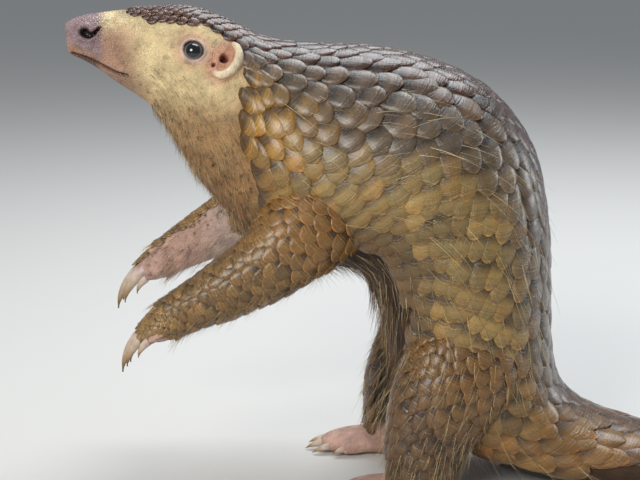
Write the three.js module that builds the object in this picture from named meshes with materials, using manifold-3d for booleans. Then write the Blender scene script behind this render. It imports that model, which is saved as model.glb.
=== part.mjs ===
// A Sunda pangolin, life size, standing on its hind feet and tail with its back arched and its arms held out.
// Millimetres, +Z up, the nose towards -X and the left side towards -Y. The origin is on the floor, under the
// middle of the animal's box.
import * as THREE from "three";
import Module from "manifold-3d";

const wasm = await Module();
wasm.setup();

// Driving sizes
const GAP = 0.3; // between nodes that meet
const SOLE = 14; // height at which the leg meets the foot
const WRIST = 4.6; // place along the arm at which the hand starts
const EYE_RADIUS = 5.6;
const SCALE_SINK = 3.2; // depth of a scale's root under the skin
const SCALE_THICK = 1.0;
const SLIVER = 0.045; // bends flatter than this are left out of a finished solid

// The skin of the body from nose to tail. Each row: the back's point x, z; the belly's point x, z; the half
// width; the shift of the widest place towards the back; and the sideways place.
const BODY = [
  [-198.5, 283, -197, 265, 7, 0, -12], // nose tip
  [-189, 287, -184, 258.5, 11.5, 0, -11], // nostrils
  [-172, 289.5, -169, 247.5, 14.5, -0.05, -9], // muzzle
  [-152, 291, -150, 233.5, 19.5, -0.1, -7], // corner of the mouth
  [-125, 290.5, -136, 211, 26, 0, -4], // eye
  [-100, 281, -124, 190, 32, 0, -2], // ear
  [-82, 271.5, -110, 173, 38, 0, 0], // neck
  [-56, 267, -93, 153, 47, -0.05, 0], // shoulder
  [-22, 265.5, -66, 138, 54, -0.1, 0], // chest
  [14, 258, -40, 135.5, 57, 0, 0], // ribs
  [49, 240.5, -25, 132, 58, 0, 0], // top of the arch
  [75, 207, -18, 121, 57, 0, 0], // back of the arch
  [85.5, 162, -12, 101, 56, 0, 0], // loin
  [88, 120, -7, 80, 55, 0, 0], // hip
  [89.5, 88, 2, 55, 52, 0, 0], // pelvis
  [95, 64, 26, 28, 47, 0, 0], // rump
  [110, 47, 58, 9, 44, 0, -1], // root of the tail
  [136, 37, 102, -1, 42, 0, -5],
  [172, 32, 152, -1.2, 39, 0, -14],
  [216, 28.5, 205, -1.2, 35.5, 0, -27],
  [263, 25, 257, -1.2, 31.5, 0, -41],
  [310, 21, 308, -1.2, 27, 0, -50],
  [353, 17, 354, -1.2, 21.5, 0, -52],
  [389, 12.5, 391, -1.2, 15, 0, -47],
  [413, 7.5, 415, -1, 7, 0, -40], // tip of the tail
];
const BODY_NODES = [
  { name: "head", from: 0, to: 5.35, skin: 0xd9c19a },
  { name: "neck", from: 5.35, to: 7, skin: 0xb7935f },
  { name: "torso_front", from: 7, to: 10.5, skin: 0x8a6f45 },
  { name: "torso_rear", from: 10.5, to: 15.4, skin: 0x857349 },
  { name: "tail_base", from: 15.4, to: 18, skin: 0x8a7a52 },
  { name: "tail_middle", from: 18, to: 20.6, skin: 0x7c6a48 },
  { name: "tail_tip", from: 20.6, to: 24, skin: 0x74603f },
];

// Where the scales cover the body: how far round from the back, in degrees, at a place along it.
const COVER = [
  [2.3, 20],
  [2.6, 30],
  [3, 38],
  [3.5, 36],
  [4, 31],
  [4.4, 33],
  [4.8, 34],
  [5.05, 42],
  [5.3, 78],
  [5.8, 92],
  [6.2, 104],
  [7, 117],
  [8, 124],
  [14, 124],
  [16, 104],
  [24, 96],
];

// The limbs, as the left ones at -Y: each row x, y, z, the radius outwards and the radius across.
const LEFT_ARM = [
  [-38, -20, 184, 26, 30],
  [-58, -40, 166, 24, 28],
  [-78, -49, 149, 19, 21.5],
  [-105, -52, 132.5, 15, 17],
  [-129, -50, 119.5, 11.5, 13],
  [-141, -49, 112, 10.5, 12],
];
const RIGHT_ARM = [
  [-42, 20, 184, 26, 30],
  [-68, 40, 170, 24, 28],
  [-94, 49, 157, 19, 21.5],
  [-120, 52, 143.5, 15, 17],
  [-143, 50, 131, 11.5, 13],
  [-155, 49, 124, 10.5, 12],
];
const LEFT_LEG = [
  [44, -24, 112, 22, 34],
  [36, -37, 84, 24, 35],
  [22, -42, 58, 22, 30],
  [14, -44, 36, 19, 24],
  [11, -45, 18, 17, 20],
  [10, -45, -4, 17, 20],
];
const RIGHT_LEG = [
  [38, 24, 112, 22, 34],
  [28, 37, 84, 24, 35],
  [13, 42, 58, 22, 30],
  [3, 44, 36, 19, 24],
  [-2, 45, 18, 16, 18],
  [-4, 45, -4, 16, 18],
];

// Linear algebra on plain arrays
const add = (a, b, k = 1) => [a[0] + b[0] * k, a[1] + b[1] * k, a[2] + b[2] * k];
const subtract = (a, b) => add(a, b, -1);
const dot = (a, b) => a[0] * b[0] + a[1] * b[1] + a[2] * b[2];
const cross = (a, b) => [a[1] * b[2] - a[2] * b[1], a[2] * b[0] - a[0] * b[2], a[0] * b[1] - a[1] * b[0]];
const length = (a) => Math.sqrt(dot(a, a));
const unit = (a) => add([0, 0, 0], a, 1 / length(a));
const radians = (degrees) => (degrees * Math.PI) / 180;

// A row of the table at a fractional place, by a Catmull-Rom curve through the rows.
function rowAt(table, t) {
  const last = table.length - 1;
  const i = Math.min(Math.max(Math.floor(t), 0), last - 1);
  const s = t - i;
  const [p, q, r, u] = [-1, 0, 1, 2].map((k) => {
    const n = i + k;
    if (n < 0) return table[0].map((v, c) => 2 * v - table[1][c]);
    if (n > last) return table[last].map((v, c) => 2 * v - table[last - 1][c]);
    return table[n];
  });
  return q.map(
    (v, c) =>
      v +
      0.5 * s * (r[c] - p[c] + s * (2 * p[c] - 5 * v + 4 * r[c] - u[c] + s * (3 * (v - r[c]) + u[c] - p[c]))),
  );
}

// A value from a table of place and value, straight between its rows.
function ramp(table, t) {
  const i = table.findIndex(([place]) => place >= t);
  if (i < 0) return table[table.length - 1][1];
  if (i === 0) return table[0][1];
  const [[a, va], [b, vb]] = [table[i - 1], table[i]];
  return va + ((vb - va) * (t - a)) / (b - a);
}

// A tapering body whose section at t is an ellipse: frameAt gives its centre, its up and side directions and
// its two radii. The angle is counted from up, towards the side direction.
function surface(frameAt) {
  const point = (t, angle, height = 0) => {
    const f = frameAt(t);
    const c = Math.cos(angle);
    const s = Math.sin(angle);
    const outward = unit(add(add([0, 0, 0], f.up, c / f.a), f.side, s / f.b));
    const base = add(add(f.centre, f.up, f.a * (c + f.widest * (1 - c * c))), f.side, f.b * s);
    return add(base, outward, height);
  };
  const STEP = 0.02;
  const alongAt = (t, angle) => length(subtract(point(t + STEP, angle), point(t - STEP, angle))) / (2 * STEP);
  const roundAt = (t, angle) => length(subtract(point(t, angle + STEP), point(t, angle - STEP))) / (2 * STEP);
  // The place that lies a distance further along the surface at one angle.
  const walk = (t, angle, distance) => {
    const steps = 6;
    for (let i = 0; i < steps; i++) t += distance / steps / Math.max(alongAt(t, angle), 4);
    return t;
  };
  return { frameAt, point, alongAt, roundAt, walk };
}

const body = surface((t) => {
  const at = (place) => {
    const [xd, zd, xv, zv, , , y] = rowAt(BODY, place);
    return [(xd + xv) / 2, y, (zd + zv) / 2];
  };
  const [xd, zd, xv, zv, halfWidth, widest] = rowAt(BODY, t);
  const spine = [xd - xv, 0, zd - zv];
  const up = unit(spine);
  const side = unit(cross(subtract(at(t + 0.1), at(t - 0.1)), up));
  return { centre: at(t), up, side, a: length(spine) / 2, b: halfWidth, widest };
});

// A limb's up direction is outwards, away from the body.
function limb(table, outward) {
  return surface((t) => {
    const [x, y, z, a, b] = rowAt(table, t);
    const along = unit(subtract(rowAt(table, t + 0.1), rowAt(table, t - 0.1)).slice(0, 3));
    const up = unit(add(outward, along, -dot(outward, along)));
    return { centre: [x, y, z], up, side: cross(along, up), a, b, widest: 0 };
  });
}

// A closed solid from its points and triangles, turned to face out whichever way they run.
function solid(points, triangles) {
  const make = (order) =>
    new wasm.Manifold(
      new wasm.Mesh({
        numProp: 3,
        vertProperties: new Float32Array(points.flat()),
        triVerts: new Uint32Array(order.flat()),
      }),
    );
  const made = make(triangles);
  return made.volume() < 0 ? make(triangles.map(([a, b, c]) => [a, c, b])) : made;
}

// The closed solid of a surface between two places, with flat ends. Each end stands back by half the gap, and
// the whole is grown outwards by grow.
function flesh(form, places, sides, grow = 0) {
  const points = [];
  const triangles = [];
  places.forEach((t, i) => {
    const { up, side } = form.frameAt(t);
    const end = i === 0 ? GAP / 2 - grow : i === places.length - 1 ? grow - GAP / 2 : 0;
    const normal = cross(up, side);
    for (let j = 0; j < sides; j++)
      points.push(add(form.point(t, (2 * Math.PI * j) / sides, grow), normal, end));
  });
  for (let i = 0; i + 1 < places.length; i++)
    for (let j = 0; j < sides; j++) {
      const [a, b] = [i * sides + j, i * sides + ((j + 1) % sides)];
      triangles.push([a, b, a + sides], [b, b + sides, a + sides]);
    }
  const lastRing = (places.length - 1) * sides;
  for (let j = 1; j + 1 < sides; j++) {
    triangles.push([0, j + 1, j]);
    triangles.push([lastRing, lastRing + j, lastRing + j + 1]);
  }
  return solid(points, triangles);
}

// Even places from one to another, both ends included.
const between = (from, to, count) =>
  Array.from({ length: count + 1 }, (_, i) => from + ((to - from) * i) / count);

// One horny scale: a kite with a keel, its root sunk in the skin and its tip raised. A grown one is wider all
// round, and cuts the room that a neighbour leaves free.
function scale(form, t, angle, size, grow = 0) {
  const { along, across, lift } = size;
  const widest = form.walk(t, angle, along * 0.58);
  const end = form.walk(t, angle, along + grow);
  const turn = (across * 0.5 + grow) / form.roundAt(widest, angle);
  const outline = [
    [t, 0, -SCALE_SINK],
    [widest, -turn, lift * 0.42],
    [widest, turn, lift * 0.42],
    [end, 0, lift],
    [widest, 0, lift * 0.42 + 0.5],
  ];
  const lower = outline.map(([place, shift, height]) => form.point(place, angle + shift, height - grow));
  const upper = outline.map(([place, shift, height], i) => {
    const thick = i === 3 ? SCALE_THICK * 0.7 : SCALE_THICK;
    return form.point(place, angle + shift, height + thick + grow);
  });
  const face = [
    [0, 1, 4],
    [0, 4, 2],
    [1, 3, 4],
    [2, 4, 3],
  ];
  const rim = [0, 1, 3, 2];
  const triangles = [];
  face.forEach(([a, b, c]) => triangles.push([a, c, b], [a + 5, b + 5, c + 5]));
  rim.forEach((a, i) => {
    const b = rim[(i + 1) % rim.length];
    triangles.push([a, b, b + 5], [a, b + 5, a + 5]);
  });
  return solid([...lower, ...upper], triangles);
}

// Places a pitch apart along a surface, measured at one angle.
function rows(form, from, to, pitch, angle) {
  const places = [];
  for (let t = from; t < to; t = form.walk(t, angle, pitch)) places.push(t);
  return places;
}

// Scales set in columns round a surface, every second column half a row on, over the arc that cover gives.
function scaleField(form, { from, to, pitch, columns, cover, measure, lift, wide }) {
  const half = (columns - 1) / 2;
  const field = [];
  const places = rows(form, from, to, pitch / 2, measure);
  places.forEach((t, i) => {
    for (let column = -half; column <= half; column++) {
      if ((i + column + 100) % 2) continue;
      const angle = (radians(cover(t)) * column) / half;
      const step = form.roundAt(t, angle) * (radians(cover(t)) / half);
      const next = Math.min(i + 2, places.length - 1);
      const run = form.alongAt(t, angle) * (places[next] - t || places[i] - places[i - 2]);
      const along = 1.62 * Math.min(Math.max(run, 0.55 * pitch), 1.25 * pitch);
      const grain = 1 + 0.07 * Math.sin(12.9898 * i + 78.233 * column);
      const across = Math.min(wide * step, 1.05 * along) * grain;
      const size = { along, across, lift: lift * Math.min(1, along / pitch / 1.3) * grain };
      field.push({ form, t, angle, size });
    }
  });
  return field;
}

const solidOf = (s, grow = 0) => scale(s.form, s.t, s.angle, s.size, grow);
const coverAt = (t) => ramp(COVER, t);
const trunkScales = scaleField(body, {
  from: 5.3,
  to: 15.7,
  pitch: 33,
  columns: 11,
  cover: coverAt,
  measure: radians(60),
  lift: 3.4,
  wide: 1.36,
});
const headScales = scaleField(body, {
  from: 2.5,
  to: 5.3,
  pitch: 22,
  columns: 5,
  cover: coverAt,
  measure: 0,
  lift: 2.2,
  wide: 1.15,
});
const tailScales = scaleField(body, {
  from: 15.75,
  to: 22.6,
  pitch: 36,
  columns: 5,
  cover: () => 58,
  measure: 0,
  lift: 3,
  wide: 1.3,
});
const bodyScales = [...headScales, ...trunkScales, ...tailScales];

// Joins and cuts
const union = (list) => wasm.Manifold.union(list);
// Only the largest closed surface of a solid, without slivers.
function tidy(made) {
  const pieces = made.simplify(SLIVER).decompose();
  return pieces.sort((a, b) => b.volume() - a.volume())[0];
}
const floorUp = (made) => made.trimByPlane([0, 0, 1], 0);

const nodes = new Map();
const placesOf = {
  head: 10,
  neck: 2,
  torso_front: 4,
  torso_rear: 7,
  tail_base: 3,
  tail_middle: 3,
  tail_tip: 5,
};
const SIDES = 14;

// The body's lengths without their scales
const lengths = BODY_NODES.map(({ name, from, to }) => {
  const places = between(from, to, placesOf[name]);
  return { name, from, to, places, made: flesh(body, places, SIDES) };
});

// The limbs' surfaces. Index 0 is the left one, at -Y.
const OUT = [
  [0, -1, 0],
  [0, 1, 0],
];
const arms = [LEFT_ARM, RIGHT_ARM].map((table, i) => limb(table, OUT[i]));
const legs = [LEFT_LEG, RIGHT_LEG].map((table, i) => limb(table, OUT[i]));
const limbSolids = (grow) => [
  ...arms.map((form) => flesh(form, between(0, WRIST, 6), 12, grow)),
  ...legs.map((form) => flesh(form, between(0, 5, 6), 12, grow)),
];
// The scales along the tail's two edges stand out sideways, so that the edge is toothed like a saw.
function edgeScale(t, side) {
  const { frameAt, point } = body;
  const { up, side: across, b } = frameAt(t);
  const along = unit(cross(up, across));
  const root = point(t, (side * Math.PI) / 2);
  const reach = Math.min(0.8 * b, 20);
  const outline = [
    [-0.3, -0.4],
    [0.5, -0.4],
    [1.05, 0.16],
    [0.3, 0.24],
    [-0.16, 0.05],
  ];
  const points = [0, 1].flatMap((top) =>
    outline.map(([back, out], i) => {
      const p = add(add(root, along, back * reach), across, side * out * reach);
      return add(p, up, (top ? 1 : -1) * (i === 2 ? 0.35 : 0.95) * Math.min(1.4, b / 14));
    }),
  );
  const triangles = [];
  for (let i = 0; i < 5; i++) {
    const k = (i + 1) % 5;
    triangles.push([i, k, k + 5], [i, k + 5, i + 5]);
  }
  for (let i = 1; i < 4; i++) triangles.push([0, i + 1, i], [5, 5 + i, 6 + i]);
  return solid(points, triangles);
}
const edgePlaces = rows(body, 15.9, 23.2, 28, radians(90));

// Scales that would touch a limb or an ear are left out.
const EAR = { place: 4.92, angle: 54 };
const earPlace = (side, height) => body.point(EAR.place, radians(EAR.angle) * side, height);
const AXES = [
  [1, 0, 0],
  [0, 1, 0],
  [0, 0, 1],
];
const earZone = [1, -1].map((side) => ellipsoid(earPlace(side, 0), AXES, [13, 13, 16], 5, 8));
const limbRoom = limbSolids(2 * GAP);
const touches = (made, room) => made.intersect(room).volume() > 0;
const kept = [...limbRoom, ...earZone];
const clearOfLimbs = bodyScales.filter((s) => !kept.some((room) => touches(solidOf(s), room)));

// Each scale belongs to the length where its root starts, and one that starts just before a joint starts
// after it.
lengths.forEach((part) => {
  part.scales = [];
});
clearOfLimbs.forEach((s) => {
  const out = s.form.walk(s.t, s.angle, s.size.along * 0.42);
  const part = lengths.find(({ from, to }) => out >= from && out < to);
  if (!part) return;
  const start = part.from + 1 / s.form.alongAt(part.from, s.angle);
  if (s.t < start && part.name !== "head") {
    const moved = s.form.walk(start, s.angle, 0);
    s.size = { ...s.size, along: s.size.along * 0.9 };
    s.t = moved;
  }
  part.scales.push(s);
});

// Scales that reach over the next length are cut clear of its skin and of the scales that they would touch.
lengths.forEach((part, i) => {
  const behind = lengths[i + 1];
  const room = behind && flesh(body, behind.places, SIDES, GAP);
  const near = behind ? behind.scales.filter((s) => s.t < behind.from + 1.5).map((s) => solidOf(s, GAP)) : [];
  const scales = part.scales.map((s) => {
    const reaches = behind && s.form.walk(s.t, s.angle, s.size.along) > behind.from - 0.05;
    if (!reaches) return solidOf(s);
    const made = solidOf(s).subtract(room);
    const met = near.filter((plate) => touches(made, plate));
    return met.length ? made.subtract(union(met)) : made;
  });
  const edges = edgePlaces
    .filter((t) => t >= body.walk(part.from, Math.PI / 2, 7) && t < part.to - 0.1)
    .flatMap((t) => [1, -1].map((side) => edgeScale(t, side)))
    .map((made) => (behind ? made.subtract(room) : made));
  part.made = union([part.made, ...scales, ...edges]);
});

// The head: sockets, lids, nostrils, the line of the mouth with its lips, and the ears.
// A ring of elliptic section round a point on the surface.
function ring(centre, along, across, out, radiusAlong, radiusAcross, wire, from = 0, to = 2 * Math.PI) {
  const steps = to - from < 6 ? 7 : 10;
  const closed = to - from > 6;
  const sides = 4;
  const count = closed ? steps : steps + 1;
  const points = [];
  const triangles = [];
  for (let i = 0; i < count; i++) {
    const a = from + ((to - from) * i) / steps;
    const way = add(add([0, 0, 0], along, Math.cos(a) * radiusAlong), across, Math.sin(a) * radiusAcross);
    const taper = closed ? 1 : 0.35 + 0.65 * Math.sin((Math.PI * i) / steps);
    for (let j = 0; j < sides; j++) {
      const b = (2 * Math.PI * j) / sides;
      const rim = add(add(centre, way), unit(way), Math.cos(b) * wire * taper);
      points.push(add(rim, out, Math.sin(b) * wire * taper));
    }
  }
  for (let i = 0; i < steps; i++)
    for (let j = 0; j < sides; j++) {
      const next = ((i + 1) % count) * sides;
      const [a, b] = [i * sides + j, i * sides + ((j + 1) % sides)];
      const [c, d] = [next + j, next + ((j + 1) % sides)];
      triangles.push([a, c, b], [b, c, d]);
    }
  if (!closed)
    for (let j = 1; j + 1 < sides; j++) {
      triangles.push([0, j, j + 1]);
      triangles.push([steps * sides, steps * sides + j + 1, steps * sides + j]);
    }
  return solid(points, triangles);
}

// An ellipsoid with its axes along three directions.
function ellipsoid(centre, axes, radii, rings = 5, sides = 8) {
  const points = [add(centre, axes[2], radii[2])];
  const triangles = [];
  for (let i = 1; i < rings; i++)
    for (let j = 0; j < sides; j++) {
      const [u, v] = [(Math.PI * i) / rings, (2 * Math.PI * j) / sides];
      let p = add(centre, axes[0], radii[0] * Math.sin(u) * Math.cos(v));
      p = add(p, axes[1], radii[1] * Math.sin(u) * Math.sin(v));
      points.push(add(p, axes[2], radii[2] * Math.cos(u)));
    }
  points.push(add(centre, axes[2], -radii[2]));
  const last = points.length - 1;
  for (let j = 0; j < sides; j++) {
    const k = (j + 1) % sides;
    triangles.push([0, 1 + j, 1 + k]);
    for (let i = 0; i + 2 < rings; i++) {
      const [a, b] = [1 + i * sides + j, 1 + i * sides + k];
      triangles.push([a, a + sides, b], [b, a + sides, b + sides]);
    }
    triangles.push([last, last - sides + k, last - sides + j]);
  }
  return solid(points, triangles);
}

// Directions on a surface: backwards along it, round it and outwards.
function tangents(form, t, angle) {
  const along = unit(subtract(form.point(t + 0.05, angle), form.point(t - 0.05, angle)));
  const round = unit(subtract(form.point(t, angle + 0.05), form.point(t, angle - 0.05)));
  const out = unit(cross(round, along));
  return { along, round: unit(cross(along, out)), out };
}

// A thin bar of square section that follows the surface from place to place at given angles.
function seam(form, line, halfThick, low, high) {
  const points = [];
  const triangles = [];
  line.forEach(([t, degrees]) => {
    const angle = radians(degrees);
    const turn = halfThick / form.roundAt(t, angle);
    points.push(form.point(t, angle - turn, low), form.point(t, angle + turn, low));
    points.push(form.point(t, angle + turn, high), form.point(t, angle - turn, high));
  });
  for (let i = 0; i + 1 < line.length; i++)
    for (let j = 0; j < 4; j++) {
      const [a, b] = [4 * i + j, 4 * i + ((j + 1) % 4)];
      triangles.push([a, a + 4, b], [b, a + 4, b + 4]);
    }
  const n = 4 * (line.length - 1);
  triangles.push([0, 1, 2], [0, 2, 3], [n, n + 2, n + 1], [n, n + 3, n + 2]);
  return solid(points, triangles);
}

// Places on the head, and angles in degrees from the back. The mouth's line runs from the front to its
// corner.
const EYE = { place: 4.12, angle: 62 };
const NOSTRIL = { place: 1.2, angle: 66 };
const MOUTH = [
  [0.45, 138],
  [1, 132],
  [1.6, 128],
  [2.2, 126],
];
const head = lengths[0];
const eyes = [];
const ears = [];
const additions = [];
const cuts = [];
[1, -1].forEach((side) => {
  const turned = radians(EYE.angle) * side;
  const skin = body.point(EYE.place, turned);
  const { along, round, out } = tangents(body, EYE.place, turned);
  const centre = add(skin, out, -EYE_RADIUS * 0.42);
  additions.push(ring(add(skin, out, 0.1), along, round, out, EYE_RADIUS * 1.12, EYE_RADIUS * 0.95, 2));
  cuts.push(ellipsoid(centre, [along, round, out], Array(3).fill(EYE_RADIUS + GAP), 6, 10));
  eyes.push(ellipsoid(centre, [along, round, out], Array(3).fill(EYE_RADIUS), 6, 10));

  const nostrilAt = radians(NOSTRIL.angle) * side;
  const nose = tangents(body, NOSTRIL.place, nostrilAt);
  const pad = body.point(NOSTRIL.place, nostrilAt);
  additions.push(ring(pad, nose.along, nose.round, nose.out, 5.4, 3.9, 1.4));
  cuts.push(ellipsoid(pad, [nose.along, nose.round, nose.out], [4.6, 3, 4.4], 5, 8));

  const line = MOUTH.map(([t, degrees]) => [t, degrees * side]);
  const lip = MOUTH.map(([t, degrees]) => [t, (degrees - 7) * side]);
  additions.push(seam(body, lip, 1.1, -1.5, 0.7));
  cuts.push(seam(body, line, 0.5, -1.8, 3));
});
// An ear: a thick fold, open to the front, round a shallow cup.
const earParts = [1, -1].map((side) => {
  const turned = radians(EAR.angle) * side;
  const skin = body.point(EAR.place, turned);
  const { along, round, out } = tangents(body, EAR.place, turned);
  const fold = ring(add(skin, out, 1.2), along, round, out, 6.5, 11, 3.6, -0.62 * Math.PI, 0.62 * Math.PI);
  const bed = ellipsoid(add(skin, out, 0.3), [along, round, out], [7.5, 10.5, 2.6], 5, 12);
  const cup = ellipsoid(add(skin, out, 3.2), [along, round, out], [4, 5.5, 3.2], 5, 10);
  return union([fold, bed]).subtract(cup);
});
// The ears stand on the head and the neck, which are cut back round them.
const headRoom = flesh(body, head.places, SIDES, GAP);
const neckRoom = flesh(body, lengths[1].places, SIDES, GAP);
earParts.forEach((made) => ears.push(tidy(made.subtract(headRoom).subtract(neckRoom))));
head.made = union([head.made, ...additions]).subtract(union(cuts));
const earRoom = [1, -1].map((side) => {
  const turned = radians(EAR.angle) * side;
  const skin = body.point(EAR.place, turned);
  const { along, round, out } = tangents(body, EAR.place, turned);
  const grown = [7.5 + 3.6, 11 + 4.4, 12];
  return ellipsoid(add(skin, out, 9), [along, round, out], grown, 6, 12);
});
head.made = head.made.subtract(union(earRoom).subtract(flesh(body, head.places, SIDES, 0)));

lengths.forEach(({ name, made }) => nodes.set(name, made));

// The limbs are cut clear of the body, and keep only the scales that are clear of the body's scales.
const trunk = lengths.filter(({ name }) => ["neck", "torso_front", "torso_rear", "tail_base"].includes(name));
const trunkRoom = union(trunk.map(({ places }) => flesh(body, places, SIDES, GAP)));
const trunkPlates = union(trunk.flatMap(({ scales }) => scales.map((s) => solidOf(s, GAP))));
const trunkFlesh = union(trunk.map(({ places }) => flesh(body, places, SIDES)));

// A limb's length with its scales.
function limbNode(form, places, sides, field) {
  const plain = flesh(form, places, sides).subtract(trunkRoom);
  const scales = field
    .filter((s) => !touches(solidOf(s), trunkPlates))
    .filter(({ t, angle, size }) => {
      const tip = form.point(form.walk(t, angle, size.along * 0.7), angle, 1);
      return !touches(ellipsoid(tip, AXES, [2, 2, 2]), trunkFlesh);
    });
  return union([plain, ...scales.map((s) => solidOf(s).subtract(trunkRoom))]);
}

const armScales = (form) =>
  scaleField(form, {
    from: 0.9,
    to: 2.9,
    pitch: 29,
    columns: 3,
    cover: () => 58,
    measure: 0,
    lift: 2.2,
    wide: 1.15,
  });
const legScales = (form) =>
  scaleField(form, {
    from: 0.9,
    to: 3.6,
    pitch: 29,
    columns: 3,
    cover: () => 55,
    measure: 0,
    lift: 2.4,
    wide: 1.1,
  });

// A claw: a horn that bends towards down as it narrows. Its base is a flat oval that faces the toe.
function claw(base, forward, down, reach, wide, high, curl, grow = 0) {
  const sides = 5;
  const steps = reach > 15 ? 4 : 2;
  const across = unit(cross(forward, down));
  const points = [];
  const triangles = [];
  let at = base;
  let way = forward;
  for (let i = 0; i <= steps; i++) {
    const share = i / steps;
    const thin = Math.max(1 - share ** 1.6, 0.12);
    const under = unit(cross(across, way));
    for (let j = 0; j < sides; j++) {
      const a = (2 * Math.PI * j) / sides;
      const p = add(at, across, Math.cos(a) * (wide * thin + grow));
      const q = add(p, under, Math.sin(a) * (high * thin + grow));
      points.push(add(q, way, i === 0 ? -grow : 0));
    }
    const turn = (curl * (i + 0.5)) / steps;
    way = unit(add(add([0, 0, 0], forward, Math.cos(turn)), down, Math.sin(turn)));
    at = add(at, way, reach / steps);
  }
  for (let i = 0; i < steps; i++)
    for (let j = 0; j < sides; j++) {
      const [a, b] = [i * sides + j, i * sides + ((j + 1) % sides)];
      triangles.push([a, b, a + sides], [b, b + sides, a + sides]);
    }
  for (let j = 1; j + 1 < sides; j++) {
    triangles.push([0, j + 1, j]);
    triangles.push([steps * sides, steps * sides + j, steps * sides + j + 1]);
  }
  return solid(points, triangles);
}

// A round rod between two points, the toe that carries a claw.
function rod(a, b, radiusA, radiusB, flat, up) {
  const way = unit(subtract(b, a));
  const across = unit(cross(way, up));
  const over = cross(across, way);
  const sides = 5;
  const points = [];
  const triangles = [];
  [
    [a, radiusA],
    [b, radiusB],
  ].forEach(([p, r]) => {
    for (let j = 0; j < sides; j++) {
      const turn = (2 * Math.PI * j) / sides;
      points.push(add(add(p, across, Math.cos(turn) * r), over, Math.sin(turn) * r * flat));
    }
  });
  for (let j = 0; j < sides; j++) {
    const k = (j + 1) % sides;
    triangles.push([j, k, j + sides], [k, k + sides, j + sides]);
  }
  for (let j = 1; j + 1 < sides; j++) {
    triangles.push([0, j + 1, j]);
    triangles.push([sides, sides + j, sides + j + 1]);
  }
  return solid(points, triangles);
}

// A hand: the palm at the end of the arm, five toes side by side and their claws, the middle three the
// longest.
const HAND_CLAWS = [
  { across: -14, reach: 12, wide: 2.1, high: 2.5 },
  { across: -8.2, reach: 26, wide: 3.3, high: 4.1 },
  { across: 0, reach: 33, wide: 3.8, high: 4.8 },
  { across: 8.4, reach: 30, wide: 3.5, high: 4.4 },
  { across: 14.4, reach: 12, wide: 2.1, high: 2.5 },
];
function hand(form) {
  const { centre } = form.frameAt(WRIST + 0.3);
  const back = form.frameAt(WRIST - 0.4).centre;
  const way = unit(subtract(centre, back));
  const across = unit(cross(way, [0, 0, 1]));
  const top = cross(across, way);
  const down = unit(add([0, 0, -1], way, 0.35));
  const palm = ellipsoid(add(centre, way, 1), [way, across, top], [15, 14, 10], 5, 8);
  const wrist = flesh(form, between(WRIST, 5, 1), 12);
  const toes = [];
  const claws = [];
  const rooms = [];
  HAND_CLAWS.forEach(({ across: shift, reach, wide, high }, i) => {
    const lead = unit(add(add(add([0, 0, 0], way, 1), across, shift * 0.012), down, -0.05));
    const outer = Math.abs(i - 2) === 2;
    const root = add(add(centre, across, shift * 0.85), top, outer ? -3 : 1);
    const tip = add(root, lead, outer ? 12 : 11.5 - Math.abs(shift) * 0.15);
    toes.push(rod(root, tip, high * 1.25, high * 1.05, 0.95, [0, 0, 1]));
    const shape = [add(tip, lead, GAP - 1.5), lead, down, reach, wide, high, 1.85];
    claws.push(claw(...shape));
    rooms.push(claw(...shape, GAP * 1.1));
  });
  const made = union([wrist, palm, ...toes]).subtract(union(rooms));
  return { made, claws };
}

// A hind foot: a flat sole, short toes and blunt claws.
const FOOT_CLAWS = [
  { across: -13, ahead: -9, reach: 8, size: 2.2 },
  { across: -7, ahead: -1, reach: 12, size: 2.7 },
  { across: 0, ahead: 1, reach: 13, size: 3 },
  { across: 7, ahead: -1, reach: 12, size: 2.7 },
  { across: 13, ahead: -9, reach: 8, size: 2.2 },
];
function foot(form, side) {
  const ankle = form.frameAt(4.2).centre;
  const way = unit([-1, side * -0.12, 0]);
  const across = unit(cross(way, [0, 0, 1]));
  const column = flesh(form, between(3.4, 5, 3), 12);
  const low = [ankle[0], ankle[1], 6];
  const sole = ellipsoid(add(low, way, 14), [way, across, [0, 0, 1]], [34, 18, 7.6], 6, 10);
  const toes = [];
  const claws = [];
  const rooms = [];
  FOOT_CLAWS.forEach(({ across: shift, ahead, reach, size }) => {
    const lead = unit(add(add([0, 0, 0], way, 1), across, shift * 0.02));
    const root = add(add([low[0], low[1], 5], way, 28 + ahead), across, shift * 0.85);
    const tip = add(root, lead, 17);
    tip[2] = 4.6;
    toes.push(rod(root, tip, 5, 4, 0.9, [0, 0, 1]));
    const shape = [add(tip, lead, GAP - 1.5), lead, [0, 0, -1], reach, size, size * 0.9, 0.55];
    claws.push(claw(...shape));
    rooms.push(claw(...shape, GAP * 1.1));
  });
  const made = union([column, sole, ...toes]).subtract(union(rooms));
  return { made, claws };
}

const SIDE_NAMES = ["left", "right"];
[0, 1].forEach((i) => {
  const side = i === 0 ? -1 : 1;
  const name = SIDE_NAMES[i];
  nodes.set("eye_" + name, eyes[i]);
  nodes.set("ear_" + name, ears[i]);

  const wristRoom = flesh(arms[i], between(WRIST, 5.4, 1), 12, 2 * GAP);
  const arm = limbNode(arms[i], between(0, WRIST, 6), 12, armScales(arms[i]));
  const { made: palm, claws } = hand(arms[i]);
  const armRoom = flesh(arms[i], between(0, WRIST, 6), 12, GAP);
  nodes.set("foreleg_" + name, arm.subtract(wristRoom));
  nodes.set("forefoot_" + name, palm.subtract(armRoom));
  claws.forEach((made, n) => nodes.set("foreclaw_" + name + "_" + (n + 1), made));

  const leg = limbNode(legs[i], between(0, 5, 6), 12, legScales(legs[i]));
  const { made: sole, claws: nails } = foot(legs[i], side);
  const top = SOLE - GAP;
  nodes.set("hindleg_" + name, leg.trimByPlane([0, 0, 1], SOLE));
  nodes.set("hindfoot_" + name, floorUp(sole).trimByPlane([0, 0, -1], -top));
  nails.forEach((made, n) => nodes.set("hindclaw_" + name + "_" + (n + 1), floorUp(made)));
});

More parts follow.
